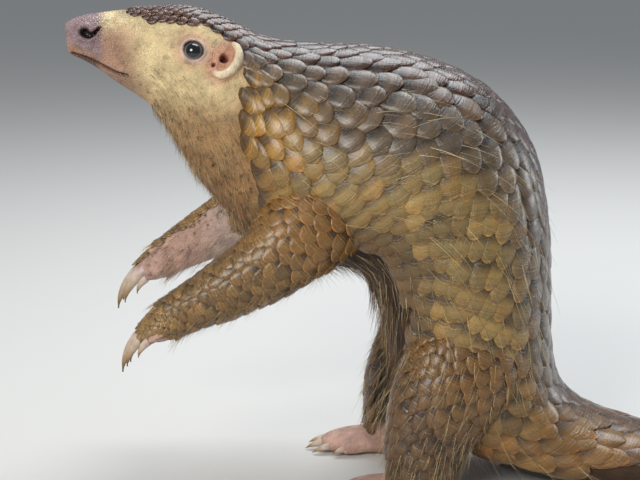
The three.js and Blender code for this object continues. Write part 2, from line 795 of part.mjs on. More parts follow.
// The finished nodes, on the floor and with the origin under the middle of the box
const group = new THREE.Group();
const COLOURS = {
  eye: 0x0a0a10,
  ear: 0xe6cfa4,
  foreclaw: 0xb9a78c,
  hindclaw: 0xa99678,
  forefoot: 0xc9b0a0,
  hindfoot: 0xc4a79a,
};
const HORN = 0x8f7748;
nodes.forEach((made, name) => {
  const kept = tidy(floorUp(made));
  const { vertProperties, triVerts } = kept.getMesh();
  const geometry = new THREE.BufferGeometry();
  geometry.setAttribute("position", new THREE.BufferAttribute(vertProperties, 3));
  geometry.setIndex(new THREE.BufferAttribute(triVerts, 1));
  geometry.computeVertexNormals();
  const skin = BODY_NODES.find((n) => n.name === name)?.skin ?? COLOURS[name.split("_")[0]] ?? HORN;
  const material = new THREE.MeshStandardMaterial({ color: skin, roughness: 0.55, metalness: 0 });
  const mesh = new THREE.Mesh(geometry, material);
  mesh.name = name;
  group.add(mesh);
});
const box = new THREE.Box3().setFromObject(group);
const middle = box.getCenter(new THREE.Vector3());
group.position.set(-middle.x, -middle.y, 0);

export default group;
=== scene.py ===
import math
from collections import namedtuple

import bmesh
import bpy
import numpy as np
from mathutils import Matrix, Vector


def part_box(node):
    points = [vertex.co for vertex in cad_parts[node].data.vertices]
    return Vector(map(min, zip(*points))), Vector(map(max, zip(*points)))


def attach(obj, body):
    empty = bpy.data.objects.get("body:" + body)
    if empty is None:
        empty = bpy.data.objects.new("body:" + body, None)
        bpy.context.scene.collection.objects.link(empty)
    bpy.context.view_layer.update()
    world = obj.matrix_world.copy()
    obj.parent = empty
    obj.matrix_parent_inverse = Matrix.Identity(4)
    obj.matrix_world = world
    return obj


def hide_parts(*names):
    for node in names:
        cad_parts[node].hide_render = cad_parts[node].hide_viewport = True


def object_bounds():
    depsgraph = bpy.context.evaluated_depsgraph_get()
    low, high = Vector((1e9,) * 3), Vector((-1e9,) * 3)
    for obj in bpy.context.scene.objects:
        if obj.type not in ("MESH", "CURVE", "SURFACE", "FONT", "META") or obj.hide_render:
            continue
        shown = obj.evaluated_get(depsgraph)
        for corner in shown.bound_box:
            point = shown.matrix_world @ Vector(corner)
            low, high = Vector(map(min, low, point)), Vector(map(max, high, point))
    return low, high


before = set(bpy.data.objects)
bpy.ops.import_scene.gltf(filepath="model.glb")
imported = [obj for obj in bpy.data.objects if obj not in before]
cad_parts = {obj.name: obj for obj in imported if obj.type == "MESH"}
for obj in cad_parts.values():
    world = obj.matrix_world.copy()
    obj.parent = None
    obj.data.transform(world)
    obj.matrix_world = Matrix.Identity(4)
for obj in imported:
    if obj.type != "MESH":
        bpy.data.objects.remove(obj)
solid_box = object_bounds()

# Camera.
# The photo is taken from the animal's left side and a little above it, so that the nose points left and the
# nearer feet and the tail leave the picture at the bottom and on the right. Metres, in the part's frame.
CAMERA_HEIGHT = math.radians(13)
CAMERA_DISTANCE = 0.9
CAMERA_LENS = 83.0
CAMERA_AIM = Vector((-0.1593731, 0.0058472, 0.1503))
forward = Vector((0, math.cos(CAMERA_HEIGHT), -math.sin(CAMERA_HEIGHT)))
camera = bpy.data.objects.new("camera", bpy.data.cameras.new("camera"))
camera.data.lens = CAMERA_LENS
camera.data.sensor_width = 36
camera.data.clip_end = 20
camera.location = CAMERA_AIM - forward * CAMERA_DISTANCE
camera.rotation_euler = (math.pi / 2 - CAMERA_HEIGHT, 0, 0)
bpy.context.scene.collection.objects.link(camera)
bpy.context.scene.camera = camera


# Skin.
# One living skin over head, trunk, limbs, feet and tail: bare and creased on the face, throat, belly and
# soles, and hidden under the scales elsewhere. Swept tubes and rounded forms are joined into one closed
# surface, whose points are then raised and sunk for the lids, ears, nostrils and lips.
MM = 0.001
UP = np.array([0.0, 0.0, 1.0])

# Back x, z; belly x, z; half width; shift of the widest place; sideways place. Millimetres.
BODY = np.array([
    [-198.5, 283, -197, 265, 7, 0, -12],
    [-189, 287, -184, 258.5, 11.5, 0, -11],
    [-172, 289.5, -169, 247.5, 14.5, -0.05, -9],
    [-152, 291, -150, 233.5, 19.5, -0.1, -7],
    [-125, 290.5, -136, 211, 26, 0, -4],
    [-100, 281, -124, 190, 32, 0, -2],
    [-82, 271.5, -110, 173, 38, 0, 0],
    [-56, 267, -93, 153, 47, -0.05, 0],
    [-22, 265.5, -66, 138, 54, -0.1, 0],
    [14, 258, -40, 135.5, 57, 0, 0],
    [49, 240.5, -25, 132, 58, 0, 0],
    [75, 207, -18, 121, 57, 0, 0],
    [85.5, 162, -12, 101, 56, 0, 0],
    [88, 120, -7, 80, 55, 0, 0],
    [89.5, 88, 2, 55, 52, 0, 0],
    [95, 64, 26, 28, 47, 0, 0],
    [110, 47, 58, 9, 44, 0, -1],
    [136, 37, 102, -1, 42, 0, -5],
    [172, 32, 152, -1.2, 39, 0, -14],
    [216, 28.5, 205, -1.2, 35.5, 0, -27],
    [263, 25, 257, -1.2, 31.5, 0, -41],
    [310, 21, 308, -1.2, 27, 0, -50],
    [353, 17, 354, -1.2, 21.5, 0, -52],
    [389, 12.5, 391, -1.2, 15, 0, -47],
    [413, 7.5, 415, -1, 7, 0, -40],
], float)


def once_round(count):
    """Angles once round, along the second axis of an array of rings."""
    return np.linspace(0, 2 * np.pi, count, endpoint=False)[None, :, None]


def unit(v):
    """Vectors along the last axis divided by their own lengths."""
    return v / np.linalg.norm(v, axis=-1, keepdims=True)


def catmull(table, t):
    """Rows of a table at fractional places t, on a Catmull-Rom curve that goes on past both ends."""
    rows = np.vstack([2 * table[0] - table[1], table, 2 * table[-1] - table[-2]])
    t = np.asarray(t, float)
    i = np.clip(np.floor(t).astype(int), 0, len(table) - 2)
    s = (t - i)[..., None]
    p, q, r, u = rows[i], rows[i + 1], rows[i + 2], rows[i + 3]
    return q + 0.5 * s * (r - p + s * (2 * p - 5 * q + 4 * r - u + s * (3 * (q - r) + u - p)))


def body_frame(t):
    """Section of the body at t: its centre, up from belly to back, the side square to it, the half height,
    the half width and the shift of the widest place."""
    def centre_at(place):
        x0, z0, x1, z1, _, _, y = np.moveaxis(catmull(BODY, place), -1, 0)
        return np.stack([(x0 + x1) / 2, y, (z0 + z1) / 2], -1)
    x0, z0, x1, z1, half, widest, _ = np.moveaxis(catmull(BODY, t), -1, 0)
    spine = np.stack([x0 - x1, np.zeros_like(x0), z0 - z1], -1)
    tall = np.linalg.norm(spine, axis=-1)
    up = unit(spine)
    along = centre_at(np.asarray(t) + 0.1) - centre_at(np.asarray(t) - 0.1)
    side = unit(np.cross(along, up))
    return centre_at(t), up, side, tall / 2, half, widest


def surface_point(frame_of, t, angle, height=0.0):
    """Point at an angle from up on the ellipse of the section at t, moved outwards by height."""
    centre, up, side, a, b, widest = frame_of(t)
    c, s = np.cos(angle), np.sin(angle)
    outward = unit(up * (c / a)[..., None] + side * (s / b)[..., None])
    lifted = up * (a * (c + widest * (1 - c * c)))[..., None] + side * (b * s)[..., None]
    return centre + lifted + outward * np.asarray(height)[..., None]


def tangents(frame_of, t, angle):
    """Directions along the surface, round it and outwards at one place, from small steps to each side."""
    t, angle = np.asarray(t, float), np.asarray(angle, float)
    along = unit(surface_point(frame_of, t + 0.05, angle) - surface_point(frame_of, t - 0.05, angle))
    around = unit(surface_point(frame_of, t, angle + 0.05) - surface_point(frame_of, t, angle - 0.05))
    out = unit(np.cross(around, along))
    return along, unit(np.cross(along, out)), out


# The eyes sit in the skin by this share of their radius. Their solids in the frame show how far the tables'
# own frame is moved, to the floor under the middle of the animal.
EYE_PLACE, EYE_ANGLE, EYE_RADIUS, EYE_SUNK = 4.12, math.radians(62), 5.6, 0.42


def eye_middle(side):
    """The middle of an eye: the place on the skin, sunk along its outward direction."""
    out = tangents(body_frame, EYE_PLACE, EYE_ANGLE * side)[2]
    return surface_point(body_frame, EYE_PLACE, EYE_ANGLE * side) - out * EYE_RADIUS * EYE_SUNK


eye_box = np.array(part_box("eye_left"))
SHIFT = np.array([*(eye_box.mean(0)[:2] - eye_middle(1)[:2] * MM), 0.0])


def placed(points):
    """Millimetres in the tables' frame turned to metres in the part's frame: scaled, then shifted."""
    return np.asarray(points) * MM + SHIFT


def linear(hexadecimal):
    """An sRGB colour such as 8A7040 as linear red, green and blue."""
    c = np.array([int(hexadecimal[i:i + 2], 16) for i in (0, 2, 4)]) / 255
    return np.where(c <= 0.04045, c / 12.92, ((c + 0.055) / 1.055) ** 2.4)


def in_scene(name, data):
    """An object of its own for some data, in the scene."""
    made = bpy.data.objects.new(name, data)
    bpy.context.scene.collection.objects.link(made)
    return made


def mesh_object(name, points, faces, material):
    """A smooth mesh object in the part's frame, from points in millimetres and faces of 3 or 4 corners."""
    mesh = bpy.data.meshes.new(name)
    mesh.from_pydata(placed(points).tolist(), [], [list(f) for f in faces])
    mesh.validate()
    mesh.polygons.foreach_set("use_smooth", np.ones(len(mesh.polygons), bool))
    if material:
        mesh.materials.append(material)
    return in_scene(name, mesh)


def ring_quads(rings, sides):
    """Quads between neighbouring rings of a tube: each corner, the next one round, and both a ring on."""
    i, j = np.meshgrid(np.arange(rings - 1), np.arange(sides), indexing="ij")
    k = (j + 1) % sides
    ring, following = i * sides, (i + 1) * sides
    return np.stack([ring + j, ring + k, following + k, following + j], -1).reshape(-1, 4)


def tube(rings_of_points):
    """A closed tube from rings of points: quads between them, and a fan of triangles on each end."""
    rings, sides = rings_of_points.shape[:2]
    poles = np.stack([rings_of_points[0].mean(0), rings_of_points[-1].mean(0)])
    start, end, last = rings * sides, rings * sides + 1, (rings - 1) * sides
    j = np.arange(sides)
    k = (j + 1) % sides
    first_cap = np.stack([np.full(sides, start), k, j], -1)
    last_cap = np.stack([np.full(sides, end), last + j, last + k], -1)
    faces = [tuple(f) for f in (*ring_quads(rings, sides), *first_cap, *last_cap)]
    return np.concatenate([rings_of_points.reshape(-1, 3), poles]), faces


def joined(tubes):
    """Points and faces of several tubes as one list: each tube's faces count on from the points before it."""
    points, faces, first = [], [], 0
    for some, corners in tubes:
        points.append(some)
        faces += [tuple(np.array(f) + first) for f in corners]
        first += len(some)
    return np.concatenate(points), faces


def loft(frame_of, end, rings, sides):
    """A surface from its start to an end place as a closed tube of even rings."""
    t = np.repeat(np.linspace(0, end, rings)[:, None], sides, 1)
    return tube(surface_point(frame_of, t, np.repeat(once_round(sides)[..., 0], rings, 0)))


def blob(centre, axes, radii, rings=16, sides=24):
    """An ellipsoid with its axes along three directions, as rings of circles scaled by the radii."""
    u = np.linspace(0.06, np.pi - 0.06, rings)[:, None, None]
    v = once_round(sides)
    a, b, c = [np.asarray(x, float) for x in axes]
    circle = a * radii[0] * np.sin(u) * np.cos(v) + b * radii[1] * np.sin(u) * np.sin(v)
    return tube(circle + c * radii[2] * np.cos(u) + centre)


def finger(start, end, r0, r1, flat=0.95, rings=10, sides=16):
    """A toe as a tapering rod with a round end and a slight knuckle, flattened a little upwards."""
    way = unit(end - start)
    across = unit(np.cross(way, UP))
    over = np.cross(across, way)
    s = np.linspace(0, 1, rings)[:, None, None]
    v = once_round(sides)
    r = (r0 + (r1 - r0) * s) * np.sqrt(np.clip(1 - np.clip((s - 0.8) / 0.24, 0, 1) ** 2, 0.05, 1))
    knuckle = 1 + 0.09 * np.cos(2 * np.pi * (s - 0.45) * 1.6)
    return tube(start + (end - start) * s + knuckle * r * (across * np.cos(v) + over * np.sin(v) * flat))


# x, y, z, radius outwards and radius across, down each limb. Left, then right.
ARMS = (np.array([
    [-38, -20, 184, 26, 30], [-58, -40, 166, 24, 28], [-78, -49, 149, 19, 21.5],
    [-105, -52, 132.5, 15, 17], [-129, -50, 119.5, 11.5, 13], [-141, -49, 112, 10.5, 12],
]), np.array([
    [-42, 20, 184, 26, 30], [-68, 40, 170, 24, 28], [-94, 49, 157, 19, 21.5],
    [-120, 52, 143.5, 15, 17], [-143, 50, 131, 11.5, 13], [-155, 49, 124, 10.5, 12],
]))
LEGS = (np.array([
    [44, -24, 112, 22, 34], [36, -37, 84, 24, 35], [22, -42, 58, 22, 30],
    [14, -44, 36, 19, 24], [11, -45, 18, 17, 20], [10, -45, -4, 17, 20],
]), np.array([
    [38, 24, 112, 22, 34], [28, 37, 84, 24, 35], [13, 42, 58, 22, 30],
    [3, 44, 36, 19, 24], [-2, 45, 18, 16, 18], [-4, 45, -4, 16, 18],
]))
OUTWARD = np.array([[0.0, -1.0, 0.0], [0.0, 1.0, 0.0]])


def limb_frame(table, outward):
    """Section of a limb: its up direction is outwards, away from the body, and square to the way along."""
    def frame_of(t):
        row = catmull(table, t)
        t = np.asarray(t, float)
        along = unit((catmull(table, t + 0.1) - catmull(table, t - 0.1))[..., :3])
        up = unit(outward - along * (along @ outward)[..., None])
        return row[..., :3], up, np.cross(along, up), row[..., 3], row[..., 4], np.zeros_like(t)
    return frame_of


arm_frames = [limb_frame(t, o) for t, o in zip(ARMS, OUTWARD)]
leg_frames = [limb_frame(t, o) for t, o in zip(LEGS, OUTWARD)]


def hand_line(i):
    """The middle of a hand, near the end of the arm, and the arm's last direction."""
    hold = arm_frames[i](4.9)[0]
    return hold, unit(hold - arm_frames[i](4.2)[0])


# Sideways place, reach, half width and half height of each claw of a hand; sideways place, step ahead, reach
# and half width of each claw of a foot. Every claw starts inside its toe.
HAND_CLAWS = ((-14, 12, 2.1, 2.5), (-8.2, 26, 3.3, 4.1), (0, 33, 3.8, 4.8), (8.4, 30, 3.5, 4.4),
              (14.4, 12, 2.1, 2.5))
FOOT_CLAWS = ((-13, -9, 8, 2.2), (-7, -1, 12, 2.7), (0, 1, 13, 3.0), (7, -1, 12, 2.7), (13, -9, 8, 2.2))
CLAW_START = -1.2
HAND_CURL, FOOT_CURL = 1.85, 0.55
FOOT_HEIGHT, TOE_LENGTH, TOE_END_HEIGHT = 6.0, 17, 4.6


def hand(i):
    """Palm, wrist and fingers of one hand, and the start, ways and sizes of its claws."""
    hold, way = hand_line(i)
    across = unit(np.cross(way, UP))
    top = np.cross(across, way)
    down = unit(way * 0.35 - UP)
    solids = [blob(hold + way, (way, across, top), (15, 14, 10))]
    solids.append(blob(hold - way * 4 - top * 5, (way, across, top), (9, 9, 6)))
    claws = []
    for n, (shift, reach, wide, high) in enumerate(HAND_CLAWS):
        lead = unit(way + across * shift * 0.012 - down * 0.05)
        outer = n in (0, 4)
        root = hold + across * shift * 0.85 + top * (-3 if outer else 1)
        tip = root + lead * (12 if outer else 11.5 - abs(shift) * 0.15)
        solids.append(finger(root, tip, high * 1.25, high * 1.1))
        claws.append((tip + lead * CLAW_START, lead, down, reach, wide, high, HAND_CURL))
    return solids, claws


def foot(i):
    """Sole and toes of one hind foot, and the start, ways and sizes of its claws."""
    ankle = leg_frames[i](4.2)[0]
    way = unit(np.array([-1, (0.12, -0.12)[i], 0.0]))
    across = unit(np.cross(way, UP))
    low = np.array([ankle[0], ankle[1], FOOT_HEIGHT])
    solids, claws = [blob(low + way * 14, (way, across, UP), (34, 18, 7.6))], []
    for shift, ahead, reach, size in FOOT_CLAWS:
        lead = unit(way + across * shift * 0.02)
        root = np.array([low[0], low[1], 5.0]) + way * (28 + ahead) + across * shift * 0.85
        tip = root + lead * TOE_LENGTH
        tip[2] = TOE_END_HEIGHT
        solids.append(finger(root, tip, 5, 4.2, 0.9))
        claws.append((tip + lead * CLAW_START, lead, -UP, reach, size, size * 0.9, FOOT_CURL))
    return solids, claws


EAR_PLACE, EAR_ANGLE = 4.92, math.radians(54)
EAR_HALF_LENGTH, EAR_HALF_HEIGHT, EAR_STANDS = 6.0, 10.5, 1.4


def ear_fold(side):
    """The fold of an ear: a flattened wire along part of an ellipse on the skin, thinner to both ends."""
    skin_at = surface_point(body_frame, EAR_PLACE, EAR_ANGLE * side)
    along, around, out = tangents(body_frame, EAR_PLACE, EAR_ANGLE * side)
    a = np.linspace(-0.66 * np.pi, 0.66 * np.pi, 26)[:, None, None]
    b = once_round(14)
    way = along * np.cos(a) * EAR_HALF_LENGTH + around * np.sin(a) * EAR_HALF_HEIGHT * side
    thin = 0.45 + 0.55 * np.sin(np.linspace(0, np.pi, 26))[:, None, None]
    wire = unit(way) * np.cos(b) * 3.3 + out * np.sin(b) * 3.6
    return tube(skin_at + out * EAR_STANDS + way + wire * thin)


solids = [loft(body_frame, 24, 300, 80)]
fore_claws, hind_claws = [], []
for i in (0, 1):
    for limbs, end, shape, claws in ((arm_frames, 5, hand, fore_claws), (leg_frames, 4.9, foot, hind_claws)):
        more, own_claws = shape(i)
        solids += [loft(limbs[i], end, 60, 40), *more]
        claws.append(own_claws)
solids += [ear_fold(1), ear_fold(-1)]

# The forms are joined in cells of this size and smoothed, which rounds the joints between them
CELL = 0.0015
rough = mesh_object("rough", *joined(solids), None)
remesh = rough.modifiers.new("remesh", "REMESH")
remesh.mode, remesh.voxel_size = "VOXEL", CELL
smooth = rough.modifiers.new("smooth", "SMOOTH")
smooth.factor, smooth.iterations = 0.5, 7
graph = bpy.context.evaluated_depsgraph_get()
skin_mesh = bpy.data.meshes.new_from_object(rough.evaluated_get(graph))
bpy.data.objects.remove(rough)

# The head's faces are cut finer, for the lids, nostrils and lips
FACE_END = -92.0
FACE_FLOOR = 0.16
fine = bmesh.new()
fine.from_mesh(skin_mesh)
limit = FACE_END * MM + SHIFT[0]
cut = [e for e in fine.edges if e.verts[0].co.x < limit and e.verts[0].co.z > FACE_FLOOR]
bmesh.ops.subdivide_edges(fine, edges=cut, cuts=1, use_grid_fill=True, smooth=0.0)
fine.to_mesh(skin_mesh)
fine.free()


def vertex_values(mesh, name):
    """The coordinates or the outward directions of a mesh's vertices, a row for each."""
    flat = np.empty(len(mesh.vertices) * 3)
    mesh.vertices.foreach_get(name, flat)
    return flat.reshape(-1, 3)


def bump(x, middle, width):
    """A smooth hill: e to the power of minus the squared distance from the middle in widths."""
    return np.exp(-((x - middle) / width) ** 2)


def step(x, low, high):
    """Rises smoothly from 0 at low to 1 at high."""
    s = np.clip((x - low) / (high - low), 0, 1)
    return s * s * (3 - 2 * s)


p = (vertex_values(skin_mesh, "co") - SHIFT) / MM
n = vertex_values(skin_mesh, "normal")
rise = np.zeros(len(p))
near_eye, near_ear, nostril_shade, mouth_shade_and_wet, lid_edge, lid_fold, ear_opening_shade, ear_rim = np.zeros((8, len(p)))
head = np.where((p[:, 0] < FACE_END + 25) & (p[:, 2] > 150))[0]
q = p[head]
MOUTH = np.array([[0.3, 139], [0.9, 135], [1.5, 132], [2.0, 128], [2.35, 121]], float)
NOSTRIL_PLACE, NOSTRIL_ANGLE = 1.02, math.radians(68)
NOSTRIL_LENGTH, NOSTRIL_HOLE, NOSTRIL_SLIT = 8.6, 2.9, 0.8
# Points through the head, on its other side, count as this many rings away
OTHER_SIDE = 9.0


def seen_from(place, angle, side):
    """Distances of the head's vertices from a place on the skin: along, round and out."""
    centre = surface_point(body_frame, place, angle * side)
    along, around, out = tangents(body_frame, place, angle * side)
    return (q - centre) @ along, (q - centre) @ (around * side), (q - centre) @ out


def rings_from(x, y, z, middle, half, depth):
    """Distance from a middle measured in half sizes, so that 1 is an ellipse, and far off beyond a depth."""
    return np.hypot((x - middle[0]) / half[0], (y - middle[1]) / half[1]) + (np.abs(z) > depth) * OTHER_SIDE


def mark(values, added):
    """Raises the head's values of a mark to the added ones where those are more."""
    values[head] = np.maximum(values[head], added)


for side in (1, -1):
    # Eye: a socket, a thick lid, a second fold and fine wrinkles round it
    x, y, z = seen_from(EYE_PLACE, EYE_ANGLE, side)
    ring = rings_from(x, y, z, (0, -0.3), (5.9, 5.1), 14)
    lids = 1.9 * bump(ring, 1.12, 0.2) + 0.7 * bump(ring, 1.75, 0.25) - 5.5 * (1 - step(ring, 0.74, 0.98))
    waves = np.sin((ring - 1.2) * 2 * np.pi / 0.27)
    rise[head] += lids + 0.3 * waves * step(ring, 1.3, 1.45) * (1 - step(ring, 1.9, 2.9))
    mark(lid_edge, bump(ring, 0.95, 0.13) * np.where(y < 0, 1.0, 0.6))
    mark(lid_fold, bump(ring, 1.28, 0.24))
    mark(near_eye, 1 - step(ring, 1.2, 3.0))

    # Ear: a shallow cup inside the fold, with the ear's opening and a small pit in front of it
    x, y, z = seen_from(EAR_PLACE, EAR_ANGLE, side)
    cup = rings_from(x, y, z, (0, 0), (4.2, 8.0), 12)
    hole = rings_from(x, y, z, (-1.6, -1.0), (2.6, 3.0), 12)
    pit = rings_from(x, y, z, (-4.5, 6.0), (1.3, 1.6), 12)
    rise[head] -= 1.4 * (1 - step(cup, 0.6, 1.1)) + 4.6 * (1 - step(hole, 0.4, 1.1))
    rise[head] -= 2.2 * (1 - step(pit, 0.4, 1.1))
    # The opening and the pit: their dark red is partly the flesh's own colour and partly painted shade in the
    # hollows
    mark(ear_opening_shade, 1 - step(np.minimum(hole, pit), 0.5, 1.25))
    mark(ear_rim, step(z, 1.2, 3.0) * (np.hypot(x / 12, y / 16) < 1))
    mark(near_ear, 1 - step(rings_from(x, y, z, (0, 0), (9, 13), 14), 0.7, 1.5))

    # Nostril: a comma, whose head is the hole and whose tail is a slit that curls back and up
    x, y, z = seen_from(NOSTRIL_PLACE, NOSTRIL_ANGLE, side)
    slit = np.full(len(q), OTHER_SIDE)
    for share in np.linspace(0, 1, 14):
        cx, cy = NOSTRIL_LENGTH * share, 8.0 * share * (1 - share) - 3.6 * share ** 2
        radius = NOSTRIL_HOLE + (NOSTRIL_SLIT - NOSTRIL_HOLE) * share
        slit = np.minimum(slit, np.hypot(x - cx, y - cy) / radius)
    slit += (np.abs(z) > 7) * OTHER_SIDE
    rise[head] += -3.0 * (1 - step(slit, 0.4, 1.1)) + 1.2 * bump(slit, 1.5, 0.4)
    # Painted shade: the hole and the slit are coloured near black, as the shade inside them
    mark(nostril_shade, 1 - step(slit, 0.75, 1.25))

    # Mouth: a fine groove between two lips, the upper one a little fuller
    line = catmull(MOUTH, np.linspace(0, len(MOUTH) - 1.001, 90))
    away, below = np.full(len(q), 99.0), np.zeros(len(q))
    for spot in surface_point(body_frame, line[:, 0], np.radians(line[:, 1]) * side):
        distance = np.linalg.norm(q - spot, axis=1)
        below = np.where(distance < away, q[:, 2] - spot[2], below)
        away = np.minimum(away, distance)
    rise[head] += -1.5 * bump(away, 0, 0.8) + 0.75 * bump(away, 2.0, 1.1) * np.where(below > 0, 1.2, 0.8)
    # The mouth's mark: painted shadow along the groove in the tint, and wet lips in the shine
    mark(mouth_shade_and_wet, bump(away, 0, 1.5))

nose = step(-p[:, 0], 172, 180) * step(p[:, 2] + 0.5 * (p[:, 0] + 180), 262, 268)
p += n * rise[:, None]
p[:, 2] = np.maximum(p[:, 2], 0.0)
skin_mesh.vertices.foreach_set("co", placed(p).ravel())
skin_mesh.update()


def blend(colours, table):
    """Colours moved towards others by a share of each, in the order of a table of colours and shares."""
    for other, share in table:
        colours = colours + (linear(other) - colours) * np.clip(share, 0, 1)[:, None]
    return colours


# Colours of the bare skin: cream cheeks, a brown throat, a dark crown, a mauve nose, pink hands and feet,
# with painted shade under the scales and the belly, in the nostrils and ear openings, along the mouth and
# under the snout tip
x, y, z = p.T
under_jaw = 262 - (x + 200) * 0.62
face = step(-x, 60, 92) * step(z, 140, 165) * step(-x + 0.3 * z, 130, 150)
throat = np.maximum(step(under_jaw - z, -30, 10) * 0.9, step(252 - z, 0, 30) * 0.8)
hand_skin = step(-x, 112, 134) * (z < 160)
snout_top = step(-x, 138, 160) * step(z, 268, 284)
# The base is a very dark brown: the skin's own brown darkened as painted shade where it lies under the scales
# and under the belly
tint = blend(np.tile(linear("2C1D14"), (len(p), 1)), (
    ("E6CFA0", face),
    ("94693C", face * throat),
    ("6E4A26", face * step(under_jaw - z, 8, 34) * 0.55),
    ("94693C", face * step(x, -106, -84) * 0.7),
    ("A47C6A", face * step(-x, 146, 168) * step(284 - z, -2, 10) * 0.9),
    ("5E3A22", face * step(z, 284, 290) * step(x, -176, -150)),
    ("CC907C", 0.5 * near_eye),
    ("CC907C", 0.8 * near_ear),
    ("E3C9BE", 0.75 * lid_fold),
    ("F6E6C4", 0.95 * ear_rim),
    # Flesh red, darkened as painted shade in the ear's opening and pit
    ("6B231B", ear_opening_shade),
    ("9A8285", nose),
    # Painted shade: near black in the nostrils
    ("160C0C", nostril_shade),
    ("2E1B18", lid_edge),
    # Painted shadow: dark along the mouth line
    ("3A211C", mouth_shade_and_wet),
    # Painted shade: darker on the underside of the snout tip, below the mouth line
    ("4A3028", step(-x, 176, 184) * step(266 - z, 0, 4) * 0.8),
    ("B8A096", step(-x, 60, 80) * (z < 166) * (np.abs(y) > 34)),
    ("C9A394", hand_skin),
    ("C9A394", step(-z, -26, -12) * (x < 60)),
    ("8A7268", step(-z, -3, -0.5) * (x < 60)),
    ("4A3320", step(x, 90, 110)),
))


def colour_layer(mesh, name, rgb):
    """A colour for each vertex, linear, with full alpha."""
    layer = mesh.color_attributes.new(name, "FLOAT_COLOR", "POINT")
    layer.data.foreach_set("color", np.column_stack([rgb, np.ones(len(rgb))]).astype(np.float32).ravel())


def number_layer(mesh, name, values):
    """A number for each vertex."""
    layer = mesh.attributes.new(name, "FLOAT", "POINT")
    layer.data.foreach_set("value", np.asarray(values, np.float32).ravel())


colour_layer(skin_mesh, "tint", tint)
number_layer(skin_mesh, "moist", np.clip(nose * 0.9 + near_eye * 0.5 + mouth_shade_and_wet + snout_top * 0.75, 0, 1))
grubby = face * step(under_jaw - z, -20, 12) + 0.6 * hand_skin + 0.35 * face
number_layer(skin_mesh, "dirt", np.clip(grubby, 0, 1))


def node(tree, kind, settings=None, **inputs):
    """Adds a shader node, sets its properties, and sets or links its inputs, which are given by name with _
    for a space, or by number after an i."""
    made = tree.nodes.new(kind)
    for key, value in (settings or {}).items():
        setattr(made, key, value)
    for key, value in inputs.items():
        numbered = key[0] == "i" and key[1:].isdigit()
        socket = made.inputs[int(key[1:])] if numbered else made.inputs[key.replace("_", " ")]
        if isinstance(value, bpy.types.NodeSocket):
            tree.links.new(value, socket)
        else:
            socket.default_value = value
    return made


def own_place(tree):
    """The object's own coordinates, in metres."""
    return node(tree, "ShaderNodeTexCoord").outputs["Object"]


def layer_of(tree, name, output="Fac"):
    """A layer that the mesh's vertices carry."""
    return node(tree, "ShaderNodeAttribute", {"attribute_name": name}).outputs[output]


def noise(tree, place, repeats, detail, roughness=0.5):
    """Noise with a number of features to a metre."""
    return node(tree, "ShaderNodeTexNoise", Vector=place, Scale=repeats, Detail=detail,
                Roughness=roughness).outputs["Fac"]


def spread(tree, value, low, high, at_low, at_high):
    """A number stretched so that low gives at_low and high gives at_high, and held beyond both."""
    return node(tree, "ShaderNodeMapRange", i0=value, i1=low, i2=high, i3=at_low, i4=at_high).outputs[0]


def summed(tree, value, factor, other):
    """A number times a factor, plus another number."""
    made = node(tree, "ShaderNodeMath", {"operation": "MULTIPLY_ADD"}, i0=value, i1=factor, i2=other)
    return made.outputs[0]


def times(tree, colour, by, share=1.0):
    """A colour multiplied by a colour or a number, as far as a share says."""
    by = (*by, 1) if isinstance(by, tuple) else by
    return node(tree, "ShaderNodeMix", {"data_type": "RGBA", "blend_type": "MULTIPLY"}, i0=share, i6=colour,
                i7=by).outputs[2]


def ramp(tree, value, stops):
    """A colour by a number, straight between stops of a place and a colour."""
    made = node(tree, "ShaderNodeValToRGB", i0=value)
    while len(made.color_ramp.elements) < len(stops):
        made.color_ramp.elements.new(0.5)
    for element, (place, colour) in zip(made.color_ramp.elements, stops):
        element.position, element.color = place, (*linear(colour), 1)
    return made.outputs[0]


def raised(tree, height, strength, depth):
    """A bumped normal from a height, with a depth in millimetres."""
    return node(tree, "ShaderNodeBump", Strength=strength, Distance=depth * MM, Height=height).outputs[0]


def material(name, build, **settings):
    """A Principled material: build adds the nodes and returns the inputs to link; settings are constants."""
    made = bpy.data.materials.new(name)
    made.use_nodes = True
    tree = made.node_tree
    shader = tree.nodes["Principled BSDF"]
    for key, value in settings.items():
        shader.inputs[key.replace("_", " ")].default_value = value
    for key, socket in build(tree).items():
        tree.links.new(socket, shader.inputs[key])
    return made


# How often the skin's patterns repeat in a metre
BLOTCHES, PORES, CREASES, SPECKS = 95, 620, 420, 240


def skin_nodes(tree):
    """Tint in blotches of noise, speckled with dirt where the layer says; creases and pores as relief."""
    where = own_place(tree)
    blotches = spread(tree, noise(tree, where, BLOTCHES, 8, 0.7), 0.3, 0.7, 0.55, 1.2)
    specks = spread(tree, noise(tree, where, SPECKS, 4, 0.75), 0.55, 0.64, 0.0, 0.85)
    amount = node(tree, "ShaderNodeMath", {"operation": "MULTIPLY"}, i0=specks, i1=layer_of(tree, "dirt"))
    toned = times(tree, layer_of(tree, "tint", "Color"), blotches)
    dirty = node(tree, "ShaderNodeMix", {"data_type": "RGBA"}, i0=amount.outputs[0], i6=toned,
                 i7=(*linear("2E2017"), 1))
    pores = node(tree, "ShaderNodeTexVoronoi", {"feature": "DISTANCE_TO_EDGE"}, Vector=where, Scale=PORES)
    edges = spread(tree, pores.outputs["Distance"], 0.0, 0.25, 0.0, 1.0)
    relief = summed(tree, edges, 0.45, noise(tree, where, CREASES, 4, 0.6))
    return {"Base Color": dirty.outputs[2], "Normal": raised(tree, relief, 0.8, 0.8),
            "Roughness": spread(tree, layer_of(tree, "moist"), 0.0, 1.0, 0.58, 0.26)}


